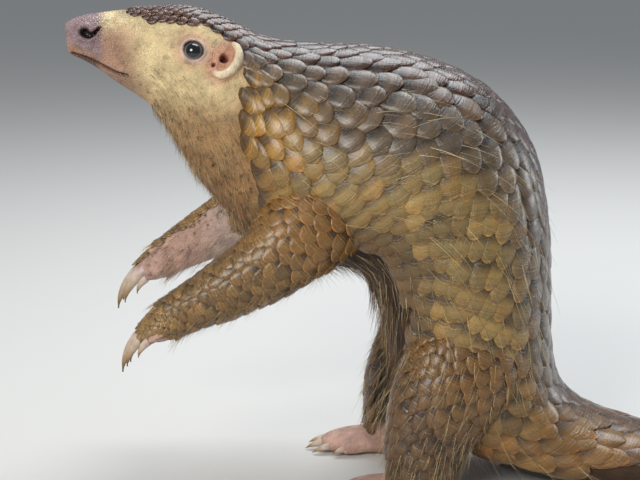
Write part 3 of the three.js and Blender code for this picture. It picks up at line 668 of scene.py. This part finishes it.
# Bare skin: a soft, slightly shining surface that lets a little light through, creased and pored
skin_material = material("bare skin", skin_nodes, Subsurface_Weight=0.12, Subsurface_Scale=0.004, IOR=1.42)
skin_mesh.materials.clear()
skin_mesh.materials.append(skin_material)
skin_mesh.polygons.foreach_set("use_smooth", np.ones(len(skin_mesh.polygons), bool))
skin = in_scene("skin", skin_mesh)
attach(skin, "root")
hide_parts("head", "neck", "torso_front", "torso_rear", "tail_base", "tail_middle", "tail_tip",
            "foreleg_left", "foreleg_right", "forefoot_left", "forefoot_right",
            "hindleg_left", "hindleg_right", "hindfoot_left", "hindfoot_right", "ear_left", "ear_right")


# Eyes.
# Round dark eyes with a wet front, set a little less than half their radius into the skin. Each is a ball
# with a black middle and a blue-grey ring, coloured by the distance from its line of sight.
EYE_RINGS = ((0.0, "040306"), (0.72, "0A0708"), (0.8, "6F7C8C"), (0.94, "A08A86"))

# Wet eye: under a clear coat, which shows the lights as small sharp points
eye_material = material("wet black eye",
                        lambda tree: {"Base Color": ramp(tree, layer_of(tree, "far"), EYE_RINGS)},
                        Roughness=0.12, Coat_Weight=1.0, Coat_Roughness=0.02, IOR=1.38)
for side, name in ((1, "left"), (-1, "right")):
    along, around, out = tangents(body_frame, EYE_PLACE, EYE_ANGLE * side)
    middle = eye_middle(side)
    ball = blob(middle, (along, around, out), (EYE_RADIUS,) * 3, 32, 48)
    eye = mesh_object("eye_wet_" + name, *ball, eye_material)
    offset = ball[0] - middle
    number_layer(eye.data, "far", np.linalg.norm(offset - (offset @ out)[:, None] * out, axis=1) / EYE_RADIUS)
    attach(eye, "root")
    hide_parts("eye_" + name)


# Claws.
# Long curved digging claws on the hands, three of them large, and short blunt ones on the feet: grown horn,
# ivory grey at the root, amber brown and worn at the tip, with fine grooves. Each is a bent, tapering tube.
def claw(base, ahead, down, reach, wide, high, curl, rings=22, sides=20):
    """A horn that turns evenly from ahead towards down and narrows to its tip, with the share of the way to
    the tip and the angle round it at each point."""
    across = unit(np.cross(ahead, down))
    s = np.linspace(0, 1, rings)
    ways = unit(ahead * np.cos(curl * s)[:, None] + down * np.sin(curl * s)[:, None])
    steps = (ways[1:] + ways[:-1]) / 2 * reach / (rings - 1)
    path = base + np.concatenate([np.zeros((1, 3)), np.cumsum(steps, 0)])
    under = unit(np.cross(across, ways))
    thin = np.maximum(1 - s ** 1.7, 0.1)[:, None, None]
    v = once_round(sides)
    belly = 1 - 0.22 * np.clip(-np.sin(v), 0, 1)
    sideways = across * np.cos(v) * wide * thin * belly
    points = path[:, None] + sideways + under[:, None] * np.sin(v) * high * thin
    shares = np.concatenate([np.repeat(s, sides), [0, 1]])
    return tube(points), shares, np.concatenate([np.tile(v.ravel(), rings), [0, 0]])


# Colours from the root to the tip; grooves to a radian round the claw, and scratches to a metre
CLAW_STOPS = ((0.0, "B79F97"), (0.35, "C8B6A6"), (0.65, "B39B80"), (0.85, "8A6A42"), (1.0, "5C4326"))
GROOVES, SCRATCHES = 7, 300


def claw_nodes(tree):
    """Ivory grey to amber brown by the share of the way to the tip, scratched, and grooved along by noise on
    the angle round it."""
    lines = node(tree, "ShaderNodeCombineXYZ", X=layer_of(tree, "turn"))
    grooves = node(tree, "ShaderNodeTexNoise", Vector=lines.outputs[0], Scale=GROOVES, Detail=3.0)
    wear = noise(tree, own_place(tree), SCRATCHES, 5)
    horn = ramp(tree, layer_of(tree, "share"), CLAW_STOPS)
    colour = times(tree, horn, spread(tree, wear, 0.3, 0.7, 0.8, 1.12))
    height = summed(tree, grooves.outputs["Fac"], 1.0, wear)
    return {"Base Color": colour, "Normal": raised(tree, height, 0.5, 0.4)}


# Claw horn: hard and smooth, with a dull shine broken by scratches
claw_material = material("claw horn", claw_nodes, Roughness=0.36, Subsurface_Weight=0.08,
                         Subsurface_Scale=0.002)
for kind, sets, word in (("foreclaw", fore_claws, "hand"), ("hindclaw", hind_claws, "foot")):
    for claws, side in zip(sets, ("left", "right")):
        tubes, shares, turns = zip(*[claw(*shape) for shape in claws])
        points, faces = joined(tubes)
        points[:, 2] = np.maximum(points[:, 2], 0.05)
        made = mesh_object(f"{word}_claws_{side}", points, faces, claw_material)
        number_layer(made.data, "share", np.concatenate(shares))
        number_layer(made.data, "turn", np.concatenate(turns))
        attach(made, "root")
        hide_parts(*[f"{kind}_{side}_{k}" for k in range(1, 6)])


# Scales of the head, neck and trunk.
# Overlapping shields of horn on the crown, the back and the flanks. Each is grown from its root in fine
# bands, is thicker along its middle and ends in a blunt point. They are laid in staggered columns and wrapped
# on the body's own surface.
draw = np.random.default_rng(41)
Spots = namedtuple("Spots", "place angle length width shade lean")


def reach_of(frame_of, t, angle, along=True):
    """Millimetres for one unit of t, or for one radian, at a place on a surface."""
    d = 0.02
    if along:
        ends = surface_point(frame_of, t + d, angle), surface_point(frame_of, t - d, angle)
    else:
        ends = surface_point(frame_of, t, angle + d), surface_point(frame_of, t, angle - d)
    return np.linalg.norm(ends[0] - ends[1], axis=-1) / (2 * d)


def walked(frame_of, t, angle, distance):
    """The place that lies a distance further along the surface at the same angle, in six equal steps."""
    for _ in range(6):
        t = t + distance / 6 / np.maximum(reach_of(frame_of, t, angle), 4)
    return t


def rows_of(frame_of, start, end, pitch, angle):
    """Places along a surface at one angle, each a step further on; the step is a function of the place."""
    places = [start]
    while places[-1] < end:
        places.append(walked(frame_of, places[-1], angle, pitch(places[-1])))
    return np.array(places[:-1])


def field(frame_of, start, end, pitch, spacing, cover, measure=0.0, stretch=1.9, wide=2.0, lean=None):
    """Roots of scales in staggered columns a spacing apart, over the arc that cover gives, with small draws
    on everything. Pitch, spacing and cover are functions of the place. The shade is a draw for the colour,
    and the lean turns a scale round from straight back."""
    places = rows_of(frame_of, start, end, lambda t: pitch(t) / 2, measure)
    limit = np.radians(cover(places))
    fan = limit[:, None] * np.linspace(0.05, 1, 9)
    girth = reach_of(frame_of, np.repeat(places[:, None], 9, 1), fan, False).mean(1)
    turn = spacing(places) / girth
    most = int(np.ceil((limit / turn).max()))
    i, c = np.meshgrid(np.arange(len(places)), np.arange(-most, most + 1), indexing="ij")
    keep = ((i + c) % 2 == 0) & (np.abs(c) * turn[:, None] <= limit[:, None] + 1e-6)
    i, c = i[keep], c[keep]
    t, angle = places[i], turn[i] * c
    run = reach_of(frame_of, t, angle) * np.gradient(places)[i] * 2
    along = stretch * np.clip(run, 0.75 * pitch(t), 1.25 * pitch(t))
    across = wide * reach_of(frame_of, t, angle, False) * turn[i]
    across = np.clip(across, 0.55 * along, 0.95 * along)
    jitter = draw.normal(0, 1, (6, len(t)))
    t = t + jitter[0] * 0.05 * np.gradient(places)[i]
    angle = angle + jitter[1] * 0.05 * turn[i]
    leaning = (lean(t, angle) if lean else 0) + 0.06 * jitter[5]
    length, width = along * (1 + 0.06 * jitter[2]), across * (1 + 0.05 * jitter[3])
    return Spots(t, angle, length, width, jitter[4], leaning)


def thinned(spots, keep):
    """The spots that a test keeps."""
    return Spots(*(s[keep] for s in spots))


# Points along and across each scale's grid, and the shares of its length at which they lie
ALONG, ACROSS = 9, 8
CORNERS = 2 * ALONG * ACROSS
SHARES = np.array([0, 0.24, 0.44, 0.6, 0.73, 0.84, 0.92, 0.97, 1.0])


def scale_points(frame_of, spots, lift, thick, sink, keel, round_tip=2.6):
    """Points of many scales at once, shape (scales, 2, ALONG, ACROSS, 3), top and bottom: each is laid out
    flat, turned by its lean and wrapped on the surface, from minus sink at the root up to lift at the tip,
    with a keel in the middle. The grain is the flat place and how far the nearest rim is."""
    u = SHARES[None, :, None]
    closing = (1 - np.clip((u - 0.5) / 0.5, 0, 1) ** round_tip) ** 0.6
    half = np.maximum((0.7 + 0.3 * step(u, 0.0, 0.5)) * closing, 0.1)
    v = np.linspace(-1, 1, ACROSS)[None, None]
    one = np.ones((len(spots.place), ALONG, ACROSS))
    x = spots.length[:, None, None] * u * one
    y = (spots.width / 2)[:, None, None] * half * v
    c, s = np.cos(spots.lean)[:, None, None], np.sin(spots.lean)[:, None, None]
    middle = walked(frame_of, spots.place, spots.angle, spots.length / 2)
    per_place = np.maximum(reach_of(frame_of, middle, spots.angle), 4)[:, None, None]
    per_radian = np.maximum(reach_of(frame_of, middle, spots.angle, False), 3)[:, None, None]
    place = spots.place[:, None, None] + (x * c - y * s) / per_place
    turned = spots.angle[:, None, None] + (x * s + y * c) / per_radian
    body = -sink + (lift[:, None, None] + sink) * u ** 0.8
    crown = keel * (1 - v ** 2) * np.sin(np.pi * u ** 0.8) * (spots.width / 15)[:, None, None]
    droop = -0.35 * thick * np.abs(v) ** 3
    edge = np.clip(np.minimum((1 - np.abs(v)) * half * 3, (1 - u) * 5), 0, 1)
    full = thick * (0.4 + 0.6 * edge)
    top = surface_point(frame_of, place, turned, (body + crown + droop + full) * one)
    bottom = surface_point(frame_of, place, turned, (body + droop) * one)
    grain = np.stack([x, y, edge * one], -1)
    return np.stack([top, bottom], 1), np.stack([grain, grain], 1)


def shell_faces(count):
    """Faces of many closed two-sided grids: the top, the bottom turned over and the strip between them."""
    size = ALONG * ACROSS
    grid = np.arange(size).reshape(ALONG, ACROSS)
    top = np.stack([grid[:-1, :-1], grid[1:, :-1], grid[1:, 1:], grid[:-1, 1:]], -1).reshape(-1, 4)
    rim = np.concatenate([grid[0, :-1], grid[:-1, -1], grid[-1, :0:-1], grid[:0:-1, 0]])
    turn = np.roll(rim, -1)
    band = np.stack([rim, turn, turn + size, rim + size], -1)
    one = np.concatenate([top, top[:, ::-1] + size, band])
    return (one[None] + np.arange(count)[:, None, None] * 2 * size).reshape(-1, 4)


GOLDEN_TURN, PATCH = 2.399963, 0.003


def bake_map(mesh, centres, per_piece):
    """The map named OFBake: each piece is a small patch at its root's place on the skin's own unwrap, over
    which its loops spread in a spiral of golden turns."""
    layer = mesh.uv_layers.new(name="OFBake")
    corners = np.empty(len(mesh.loops), np.int32)
    mesh.loops.foreach_get("vertex_index", corners)
    rank = corners % per_piece
    out = PATCH / 2 * np.sqrt((rank + 0.5) / per_piece)
    spiral = np.stack([np.cos(rank * GOLDEN_TURN) * out, np.sin(rank * GOLDEN_TURN) * out], -1)
    layer.data.foreach_set("uv", (centres[corners // per_piece] + spiral).astype(np.float32).ravel())


# How often the horn's patterns repeat in a metre, and its streaks along and across a scale in a millimetre
WAVES, MOTTLES = 110, 150
STREAKS = (0.1, 1.6, 1)


def horn_nodes(tree):
    """Tint, mottled with amber, in growth bands across and streaks along, with painted shade at the root
    under the scale that overlaps it, a painted shadow towards the tip, and a pale rim that is partly thin
    horn and partly a painted highlight; bands and streaks as relief, and grime that takes the shine in blots."""
    share = layer_of(tree, "share")
    where = own_place(tree)
    parts = node(tree, "ShaderNodeSeparateXYZ", Vector=layer_of(tree, "grain", "Vector")).outputs
    flat = node(tree, "ShaderNodeCombineXYZ", X=parts[0], Y=parts[1]).outputs[0]
    far = node(tree, "ShaderNodeVectorMath", {"operation": "LENGTH"}, i0=flat).outputs["Value"]
    waver = noise(tree, where, WAVES, 4)
    bands = node(tree, "ShaderNodeTexNoise", {"noise_dimensions": "1D"}, W=summed(tree, waver, 4.0, far),
                 Scale=1.0, Detail=2.0).outputs["Fac"]
    streaked = node(tree, "ShaderNodeVectorMath", {"operation": "MULTIPLY"}, i0=flat, i1=STREAKS)
    streaks = node(tree, "ShaderNodeTexNoise", Vector=streaked.outputs[0], Scale=1.0,
                   Detail=4.0).outputs["Fac"]
    mottle = noise(tree, where, MOTTLES, 5, 0.6)
    colour = times(tree, layer_of(tree, "tint", "Color"), spread(tree, bands, 0.3, 0.7, 0.74, 1.14))
    colour = times(tree, colour, spread(tree, streaks, 0.3, 0.7, 0.8, 1.14))
    colour = times(tree, colour, (1.28, 1.1, 0.72), spread(tree, mottle, 0.42, 0.68, 0.0, 0.8))
    # Painted shade: each scale darker towards its root, as the shade under the scale that overlaps it
    colour = times(tree, colour, (0.3, 0.27, 0.27), spread(tree, share, 0.48, 0.66, 1.0, 0.0))
    # Painted shadow: a darker band towards the tip, as the contact shadow along its edge
    colour = times(tree, colour, (0.66, 0.56, 0.44), spread(tree, share, 0.72, 0.9, 0.0, 0.55))
    # The pale rim: partly the thin, see-through edge of the horn, partly a painted highlight along the edge
    colour = times(tree, colour, (2.3, 2.1, 1.7), spread(tree, parts[2], 0.0, 0.32, 0.9, 0.0))
    return {"Base Color": colour, "Normal": raised(tree, summed(tree, streaks, 0.7, bands), 0.7, 0.7),
            "Roughness": spread(tree, waver, 0.35, 0.65, 0.14, 0.38)}


# Scale horn: hard and worn smooth, so it shines like a fingernail; its paler rims are partly thin see-through
# horn and partly a painted highlight
horn_material = material("scale horn", horn_nodes, Coat_Weight=0.4, Coat_Roughness=0.22, IOR=1.5)


def inside(points):
    """True for each piece whose points all lie in the box of the solids."""
    at = placed(points).reshape(len(points), -1, 3)
    low, high = np.array(solid_box)
    return ((at > low - 1e-6) & (at < high - 2e-4)).all((1, 2))


def scales(name, frame_of, spots, colours, lift, thick, sink, keel, chart, flatter=1.0, round_tip=2.6):
    """One piece with all the scales of a field, their colours, their grain in millimetres and their map. Lift
    is the share of a scale's length that its tip stands off, with the least and the most."""
    stands = np.clip(lift[0] * spots.length, *lift[1:]) * flatter
    made, grain = scale_points(frame_of, spots, stands, thick, sink, keel, round_tip)
    made[..., 2] = np.maximum(made[..., 2], 0.02)
    fits = inside(made)
    made, grain = made[fits], grain[fits].reshape(fits.sum(), -1, 3)
    piece = mesh_object(name, made.reshape(-1, 3), shell_faces(len(made)), horn_material)
    colour_layer(piece.data, "tint", np.repeat(colours[fits], CORNERS, 0))
    number_layer(piece.data, "share", (grain[..., 0] / grain[..., 0].max(1, keepdims=True)).ravel())
    layer = piece.data.attributes.new("grain", "FLOAT_VECTOR", "POINT")
    layer.data.foreach_set("vector", grain.astype(np.float32).ravel())
    bake_map(piece.data, chart[fits], CORNERS)
    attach(piece, "root")


def by_place(*table):
    """A function of the place, straight between the rows of a table of places and values."""
    places, values = np.array(table, float).T
    return lambda t: np.interp(t, places, values)


# Degrees that the scales reach from the middle of the back, millimetres from scale to scale along the body,
# and millimetres between columns, by the place along it
cover_of = by_place((2.3, 20), (2.6, 30), (3, 38), (3.5, 36), (4, 31), (4.4, 33), (4.8, 34), (5.05, 42),
                    (5.3, 80), (5.8, 92), (6.2, 104), (7, 117), (8, 124), (14, 124), (16, 104), (24, 96))
pitch_of = by_place((2.3, 4.6), (4, 5.6), (5.2, 8.5), (6.2, 12), (8, 15), (24, 16))
spacing_of = by_place((2.3, 2.3), (4, 3.1), (5.2, 5.2), (6.2, 7.2), (8, 9.2), (24, 9.2))


STEEPEST_LEAN = math.radians(40)


def lean_of(t, angle):
    """How far a scale leans towards the belly: straight back along the spine, and steeply down the flanks."""
    d = np.degrees(np.abs(angle))
    share = step(d, 22, 62) * step(t, 5.0, 7.5) * (1 - 0.75 * step(t, 11.5, 15))
    return np.sign(angle) * STEEPEST_LEAN * share


def body_colours(spots):
    """Dark red-brown along the back, grey on the upper flank, olive tan on the lower flank, amber on the neck
    side and the tail's root, each scale brighter or warmer by its draw."""
    t, d = spots.place, np.degrees(np.abs(spots.angle))
    rear = 18 * step(t, 8.5, 11)
    colour = blend(np.tile(linear("8C7442"), (len(t), 1)), (
        ("6B5434", step(d, 92, 116)),
        ("5E5042", step(-rear - d, -76, -54)),
        ("432617", step(-rear * 0.5 - d, -42, -22)),
        ("93702E", step(-t, -8.2, -6.0) * step(d, 38, 60)),
        ("7F5C2C", step(t, 12, 14.5) * step(d, 25, 60) * 0.7),
        ("836030", step(t, 14.0, 15.8) * (0.4 + 0.5 * step(d, 15, 60))),
        ("452C1D", step(t, 15.8, 17.8) * 0.85),
        ("50301E", step(-t, -5.2, -4.6) * 0.9),
    )) * np.exp(0.17 * spots.shade)[:, None]
    warm = np.clip(1 + 0.045 * np.roll(spots.shade, 7), 0.85, 1.15)
    return colour * np.stack([warm, np.ones_like(warm), 1 / warm], -1)


def body_chart(t, angle):
    """The trunk's unwrap: along the body to the right, round it upwards."""
    return np.stack([0.02 + 0.6 * t / 24, 0.5 + 0.45 * angle / np.pi], -1)


def clear_of_limbs(points, margin):
    """True where points are further from every limb's axis than its smaller radius less a margin."""
    clear = np.ones(len(points), bool)
    for frames, top in ((arm_frames, 4.2), (leg_frames, 4.4)):
        for limb in frames:
            centres, _, _, a, b, _ = limb(np.linspace(0, top, 30))
            distance = np.linalg.norm(points[:, None] - centres[None], axis=-1)
            clear &= (distance > np.minimum(a, b)[None] - margin).all(1)
    return clear


def clear_of_ears(spots, margin):
    """True where a place past the middle of a scale is further from both ears than a margin."""
    place = walked(body_frame, spots.place, spots.angle, spots.length * 0.65)
    middle = surface_point(body_frame, place, spots.angle)
    ears = [surface_point(body_frame, EAR_PLACE, EAR_ANGLE * s) for s in (1, -1)]
    return np.all([np.linalg.norm(middle - ear, axis=-1) > margin for ear in ears], 0)


armour = field(body_frame, 2.35, 16.3, pitch_of, spacing_of, cover_of, math.radians(60), lean=lean_of)
near_tip = walked(body_frame, armour.place, armour.angle, armour.length * 0.7)
uncovered = clear_of_limbs(surface_point(body_frame, near_tip, armour.angle), 10)
armour = thinned(armour, uncovered & clear_of_ears(armour, 12.5))
for name, low, high in (("head_scales", 0, 5.2), ("shoulder_scales", 5.2, 10.3), ("trunk_scales", 10.3, 24)):
    part = thinned(armour, (armour.place >= low) & (armour.place < high))
    thick = np.clip(0.05 * part.length, 0.45, 1.25).mean()
    scales(name, body_frame, part, body_colours(part), (0.12, 0.6, 3.2), thick, 2.0, 0.8,
           body_chart(part.place, part.angle))


# Scales of the tail.
# Broad pointed shields of the same horn round the whole tail, in a fixed number of columns, dark brown past
# its root. Towards the end they are shorter and lie closer, so that they close over its tip.
TAIL_END = 24.15
tail = field(body_frame, 16.1, 23.8, by_place((21.5, 17.0), (23.6, 8.0)),
             lambda t: reach_of(body_frame, t, np.full_like(t, 0.8), False) * math.radians(23),
             by_place((16, 93.0), (24, 93.0)), stretch=1.8, wide=1.7)
room = (TAIL_END - tail.place) * reach_of(body_frame, tail.place, tail.angle)
tail = thinned(tail._replace(length=np.minimum(tail.length, room)), room > 4)
scales("tail_scales", body_frame, tail, body_colours(tail), (0.08, 1.2, 2.4), 0.9, 2.2, 0.9,
       body_chart(tail.place, tail.angle), flatter=1 - 0.8 * step(tail.place, 22.2, 23.6), round_tip=2.0)


# Scales of the arms, hands and legs.
# Smaller shields of the same horn on the outer sides of the limbs and the backs of the hands, smallest near
# the claws. They follow each limb's own surface, and the inner and under sides of the arms stay bare.
def hand_frame(i):
    """The back of a hand as a limb's surface, from the wrist over the palm to the roots of the claws."""
    hold, way = hand_line(i)
    steps = ((-15, 11, 12.3), (-8, 12, 12), (-1, 14.4, 10.8), (6, 14.2, 9.4), (13, 13, 7.4))
    table = np.array([[*(hold + way * ahead), wide, high] for ahead, wide, high in steps])
    return limb_frame(table, OUTWARD[i])


def limb_lean(t, angle):
    """Scales on a limb lean a little away from its outer middle line."""
    return 0.25 * np.sin(angle)


def limb_colours(spots, colour, root_colour, low, high, share):
    """One colour, moved towards another at the limb's root, each scale brighter or darker by its draw."""
    made = np.tile(linear(colour), (len(spots.place), 1)) * np.exp(0.2 * spots.shade)[:, None]
    return blend(made, ((root_colour, step(-spots.place, -high, -low) * share),))


def limb_chart(t, angle, low, wide=0.3, left=0.66):
    """A limb's unwrap beside the trunk's: along it to the right, round it upwards from a low line."""
    return np.stack([left + wide * t / 5, low + 0.08 * angle / np.pi], -1)


hand_frames = [hand_frame(0), hand_frame(1)]
WHOLE = by_place((0, 112.0), (5, 112.0))
for i, name in enumerate(("left", "right")):
    outer = (1, -1)[i]
    arm = field(arm_frames[i], 0.3, 4.12, by_place((0.7, 11.0), (2.5, 8.0), (5, 5.0)),
                by_place((0.7, 6.5), (2.5, 4.6), (5, 3.0)), WHOLE, lean=limb_lean)
    arm = thinned(arm, arm.angle * outer > -math.radians(62))
    scales(name + "_arm_scales", arm_frames[i], arm, limb_colours(arm, "7A5E34", "8F6832", 0.7, 1.8, 0.7),
           (0.08, 0.6, 1.8), 0.6, 1.8, 0.5, limb_chart(arm.place, arm.angle, 0.08 + 0.2 * i))
    back = field(hand_frames[i], 0.0, 3.3, by_place((0, 4.6), (5, 4.6)), by_place((0, 2.5), (5, 2.5)),
                 by_place((0, 116.0), (5, 116.0)))
    back = thinned(back, back.angle * outer > -math.radians(28))
    scales(name + "_hand_scales", hand_frames[i], back, limb_colours(back, "8A6E42", "8A6E42", 0, 1, 0.0),
           (0.08, 0.4, 0.8), 0.45, 1.6, 0.3, limb_chart(back.place, back.angle, 0.12 + 0.2 * i, 0.05, 0.9))
    leg = field(leg_frames[i], 0.3, (4.5, 3.7)[i], by_place((2.5, 11.0), (4.5, 7.0)),
                by_place((2.5, 5.2), (4.5, 3.8)), WHOLE, lean=limb_lean)
    scales(name + "_leg_scales", leg_frames[i], leg, limb_colours(leg, "5C4326", "7A5A2C", 0.9, 2.2, 0.8),
           (0.09, 0.8, 2.2), 0.7, 2.2, 0.6, limb_chart(leg.place, leg.angle, 0.5 + 0.2 * i), round_tip=1.7)


# Bristles.
# Stiff pale straw bristles grow between the scales and fringe the belly, the throat and the legs; the face
# has few. Each is a thin three-sided tapering rod along a curve that starts one way and sags another.
STRAW, BROWN = linear("C9B58A"), linear("6B4A28")
SIDES, STEPS = 3, 5

# Bristle: a stiff hair with a soft shine along it, tinted alone, since it is too thin for a pattern
bristle_material = material("bristle", lambda tree: {"Base Color": layer_of(tree, "tint", "Color")},
                            Roughness=0.45)


def hair_colours(count, brown):
    """Pale straw, or brown for a share of the hairs, each brighter or darker by a draw."""
    dark = (draw.random(count) < brown)[:, None]
    return np.where(dark, BROWN, STRAW) * np.exp(0.25 * draw.normal(0, 1, count))[:, None]


def bristles(name, frame_of, t, angle, lean, chart, lengths, stand, width, sag=-0.22, brown=0.2):
    """One piece of bristles that start at places and angles on a surface, follow it, lean round it and stand
    off it by a drawn share, then bend by the sag as the square of the way to the tip."""
    count = len(t)
    along, around, out = tangents(frame_of, t, angle)
    roots = surface_point(frame_of, t, angle, np.full(count, -0.5))
    aside = np.sin(lean) + draw.normal(0, 0.16, count)
    off = out * draw.uniform(*stand, count)[:, None]
    ways = unit(along * np.cos(lean)[:, None] + around * aside[:, None] + off)
    bend = np.array([0, 0, sag]) + draw.normal(0, 0.07, (count, 3))
    long = draw.uniform(*lengths, count)
    thick = draw.uniform(*width, count)
    colours = hair_colours(count, brown)
    s = np.linspace(0, 1, STEPS)[None, :, None]
    path = roots[:, None] + long[:, None, None] * (ways[:, None] * s + bend[:, None] * s ** 2)
    way = unit(ways + bend)
    across = unit(np.cross(way, draw.normal(0, 1, (count, 3))))
    over = np.cross(way, across)
    v = np.arange(SIDES)[None, :, None] * 2 * np.pi / SIDES
    ring = across[:, None] * np.cos(v) + over[:, None] * np.sin(v)
    thin = (1 - 0.9 * s ** 1.5)[..., None]
    points = path[:, :, None] + ring[:, None] * thick[:, None, None, None] * thin
    points[..., 2] = np.maximum(points[..., 2], 0.1)
    fits = inside(points)
    size = STEPS * SIDES
    shift = np.arange(int(fits.sum()))[:, None, None] * size
    ends = np.array([[2, 1, 0], [size - 3, size - 2, size - 1]])
    faces = (ring_quads(STEPS, SIDES)[None] + shift).reshape(-1, 4).tolist()
    faces += (ends[None] + shift).reshape(-1, 3).tolist()
    piece = mesh_object(name, points[fits].reshape(-1, 3), faces, bristle_material)
    colour_layer(piece.data, "tint", np.repeat(colours[fits], size, 0))
    bake_map(piece.data, chart(t, angle)[fits], size)
    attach(piece, "root")


def between_scales(name, spots, share, follow, **choice):
    """Groups of up to four bristles that come out from under a share of the body's scales, and follow a share
    of each scale's lean."""
    groups = draw.choice(len(spots.place), int(share * len(spots.place)), replace=False)
    pick = thinned(spots, np.repeat(groups, draw.integers(1, 5, len(groups))))
    count = len(pick.place)
    t = walked(body_frame, pick.place, pick.angle, pick.length * 0.45) + draw.normal(0, 0.02, count)
    angle = pick.angle + draw.normal(0, 0.06, count)
    bristles(name, body_frame, t, angle, follow * pick.lean, body_chart, **choice)


def scattered(name, frame_of, chart, count, t0, t1, d0, d1, **choice):
    """Bristles at drawn places, and at drawn angles in degrees on both sides of a surface."""
    t = draw.uniform(t0, t1, count)
    angle = np.radians(draw.uniform(d0, d1, count)) * draw.choice([-1, 1], count)
    bristles(name, frame_of, t, angle, np.zeros(count), chart, **choice)


behind_neck = armour.place > 6.0
on_flank = np.abs(armour.angle) > math.radians(34)
between_scales("flank_bristles", thinned(armour, behind_neck & on_flank), 1.0, -0.4, lengths=(14, 40),
               stand=(0.14, 0.38), width=(0.11, 0.22))
between_scales("back_bristles", thinned(armour, behind_neck & ~on_flank), 0.3, 1.0, lengths=(9, 20),
               stand=(0.15, 0.32), width=(0.09, 0.15))
scattered("belly_bristles", body_frame, body_chart, 2600, 6.5, 15.4, 118, 178, lengths=(6, 20),
          stand=(0.2, 0.7), width=(0.09, 0.17), brown=0.75)
scattered("throat_bristles", body_frame, body_chart, 2600, 3.0, 7.0, 86, 178, lengths=(3, 8),
          stand=(0.25, 0.8), width=(0.06, 0.11), brown=0.6)
scattered("face_bristles", body_frame, body_chart, 420, 1.7, 5.4, 50, 150, lengths=(1.5, 4),
          stand=(0.25, 0.7), width=(0.05, 0.08), brown=0.3)
for i, name in enumerate(("left", "right")):
    def chart_of(t, angle, low=0.3 + 0.4 * i):
        """The limb's own part of the unwrap."""
        return limb_chart(t, angle, low)
    scattered(name + "_leg_bristles", leg_frames[i], chart_of, 1500, 0.8, 4.6, 0, 160, lengths=(7, 20),
              stand=(0.15, 0.5), width=(0.09, 0.18), sag=-0.1, brown=0.35)
    scattered(name + "_arm_bristles", arm_frames[i], chart_of, 900, 0.9, 4.8, 20, 178, lengths=(4, 12),
              stand=(0.15, 0.5), width=(0.07, 0.13), brown=0.4)


# Floor.
# A plain pale floor, painted matt, as one large square.
FLOOR_HALF = 6.0

# Pale paint: matt, one plain colour
floor_material = material("pale floor", lambda tree: {}, Base_Color=(0.62, 0.61, 0.59, 1), Roughness=0.85)
floor_mesh = bpy.data.meshes.new("floor")
corners = [(x * FLOOR_HALF, y * FLOOR_HALF, 0) for x, y in ((-1, -1), (1, -1), (1, 1), (-1, 1))]
floor_mesh.from_pydata(corners, [], [(0, 1, 2, 3)])
floor_mesh.materials.append(floor_material)
floor = in_scene("floor", floor_mesh)


# Light.
# Large soft studio lights: a cool one overhead, a warm one in front and a weak one behind, in a pale room.
# Place and size in metres, power in watts.
MIDDLE = Vector((0, 0, 0.15))


def softbox(name, place, size, power, colour):
    """A square soft light that faces the middle of the animal."""
    lamp = bpy.data.lights.new(name, "AREA")
    lamp.shape, lamp.size, lamp.energy, lamp.color = "SQUARE", size, power, colour
    made = in_scene(name, lamp)
    made.location = place
    made.rotation_euler = (Vector(place) - MIDDLE).to_track_quat("Z", "Y").to_euler()


softbox("sky", (0.05, 0.5, 1.25), 0.9, 16, (0.92, 0.96, 1.0))
softbox("front", (-0.9, -1.3, 1.0), 0.7, 21, (1.0, 0.96, 0.89))
softbox("rear", (1.35, 0.45, 0.5), 0.6, 8, (0.92, 0.96, 1.0))
world = bpy.data.worlds.new("world")
world.use_nodes = True
background = world.node_tree.nodes["Background"]
background.inputs["Color"].default_value = (0.80, 0.86, 0.92, 1)
background.inputs["Strength"].default_value = 0.35
bpy.context.scene.world = world
bpy.context.scene.view_settings.view_transform = "Standard"
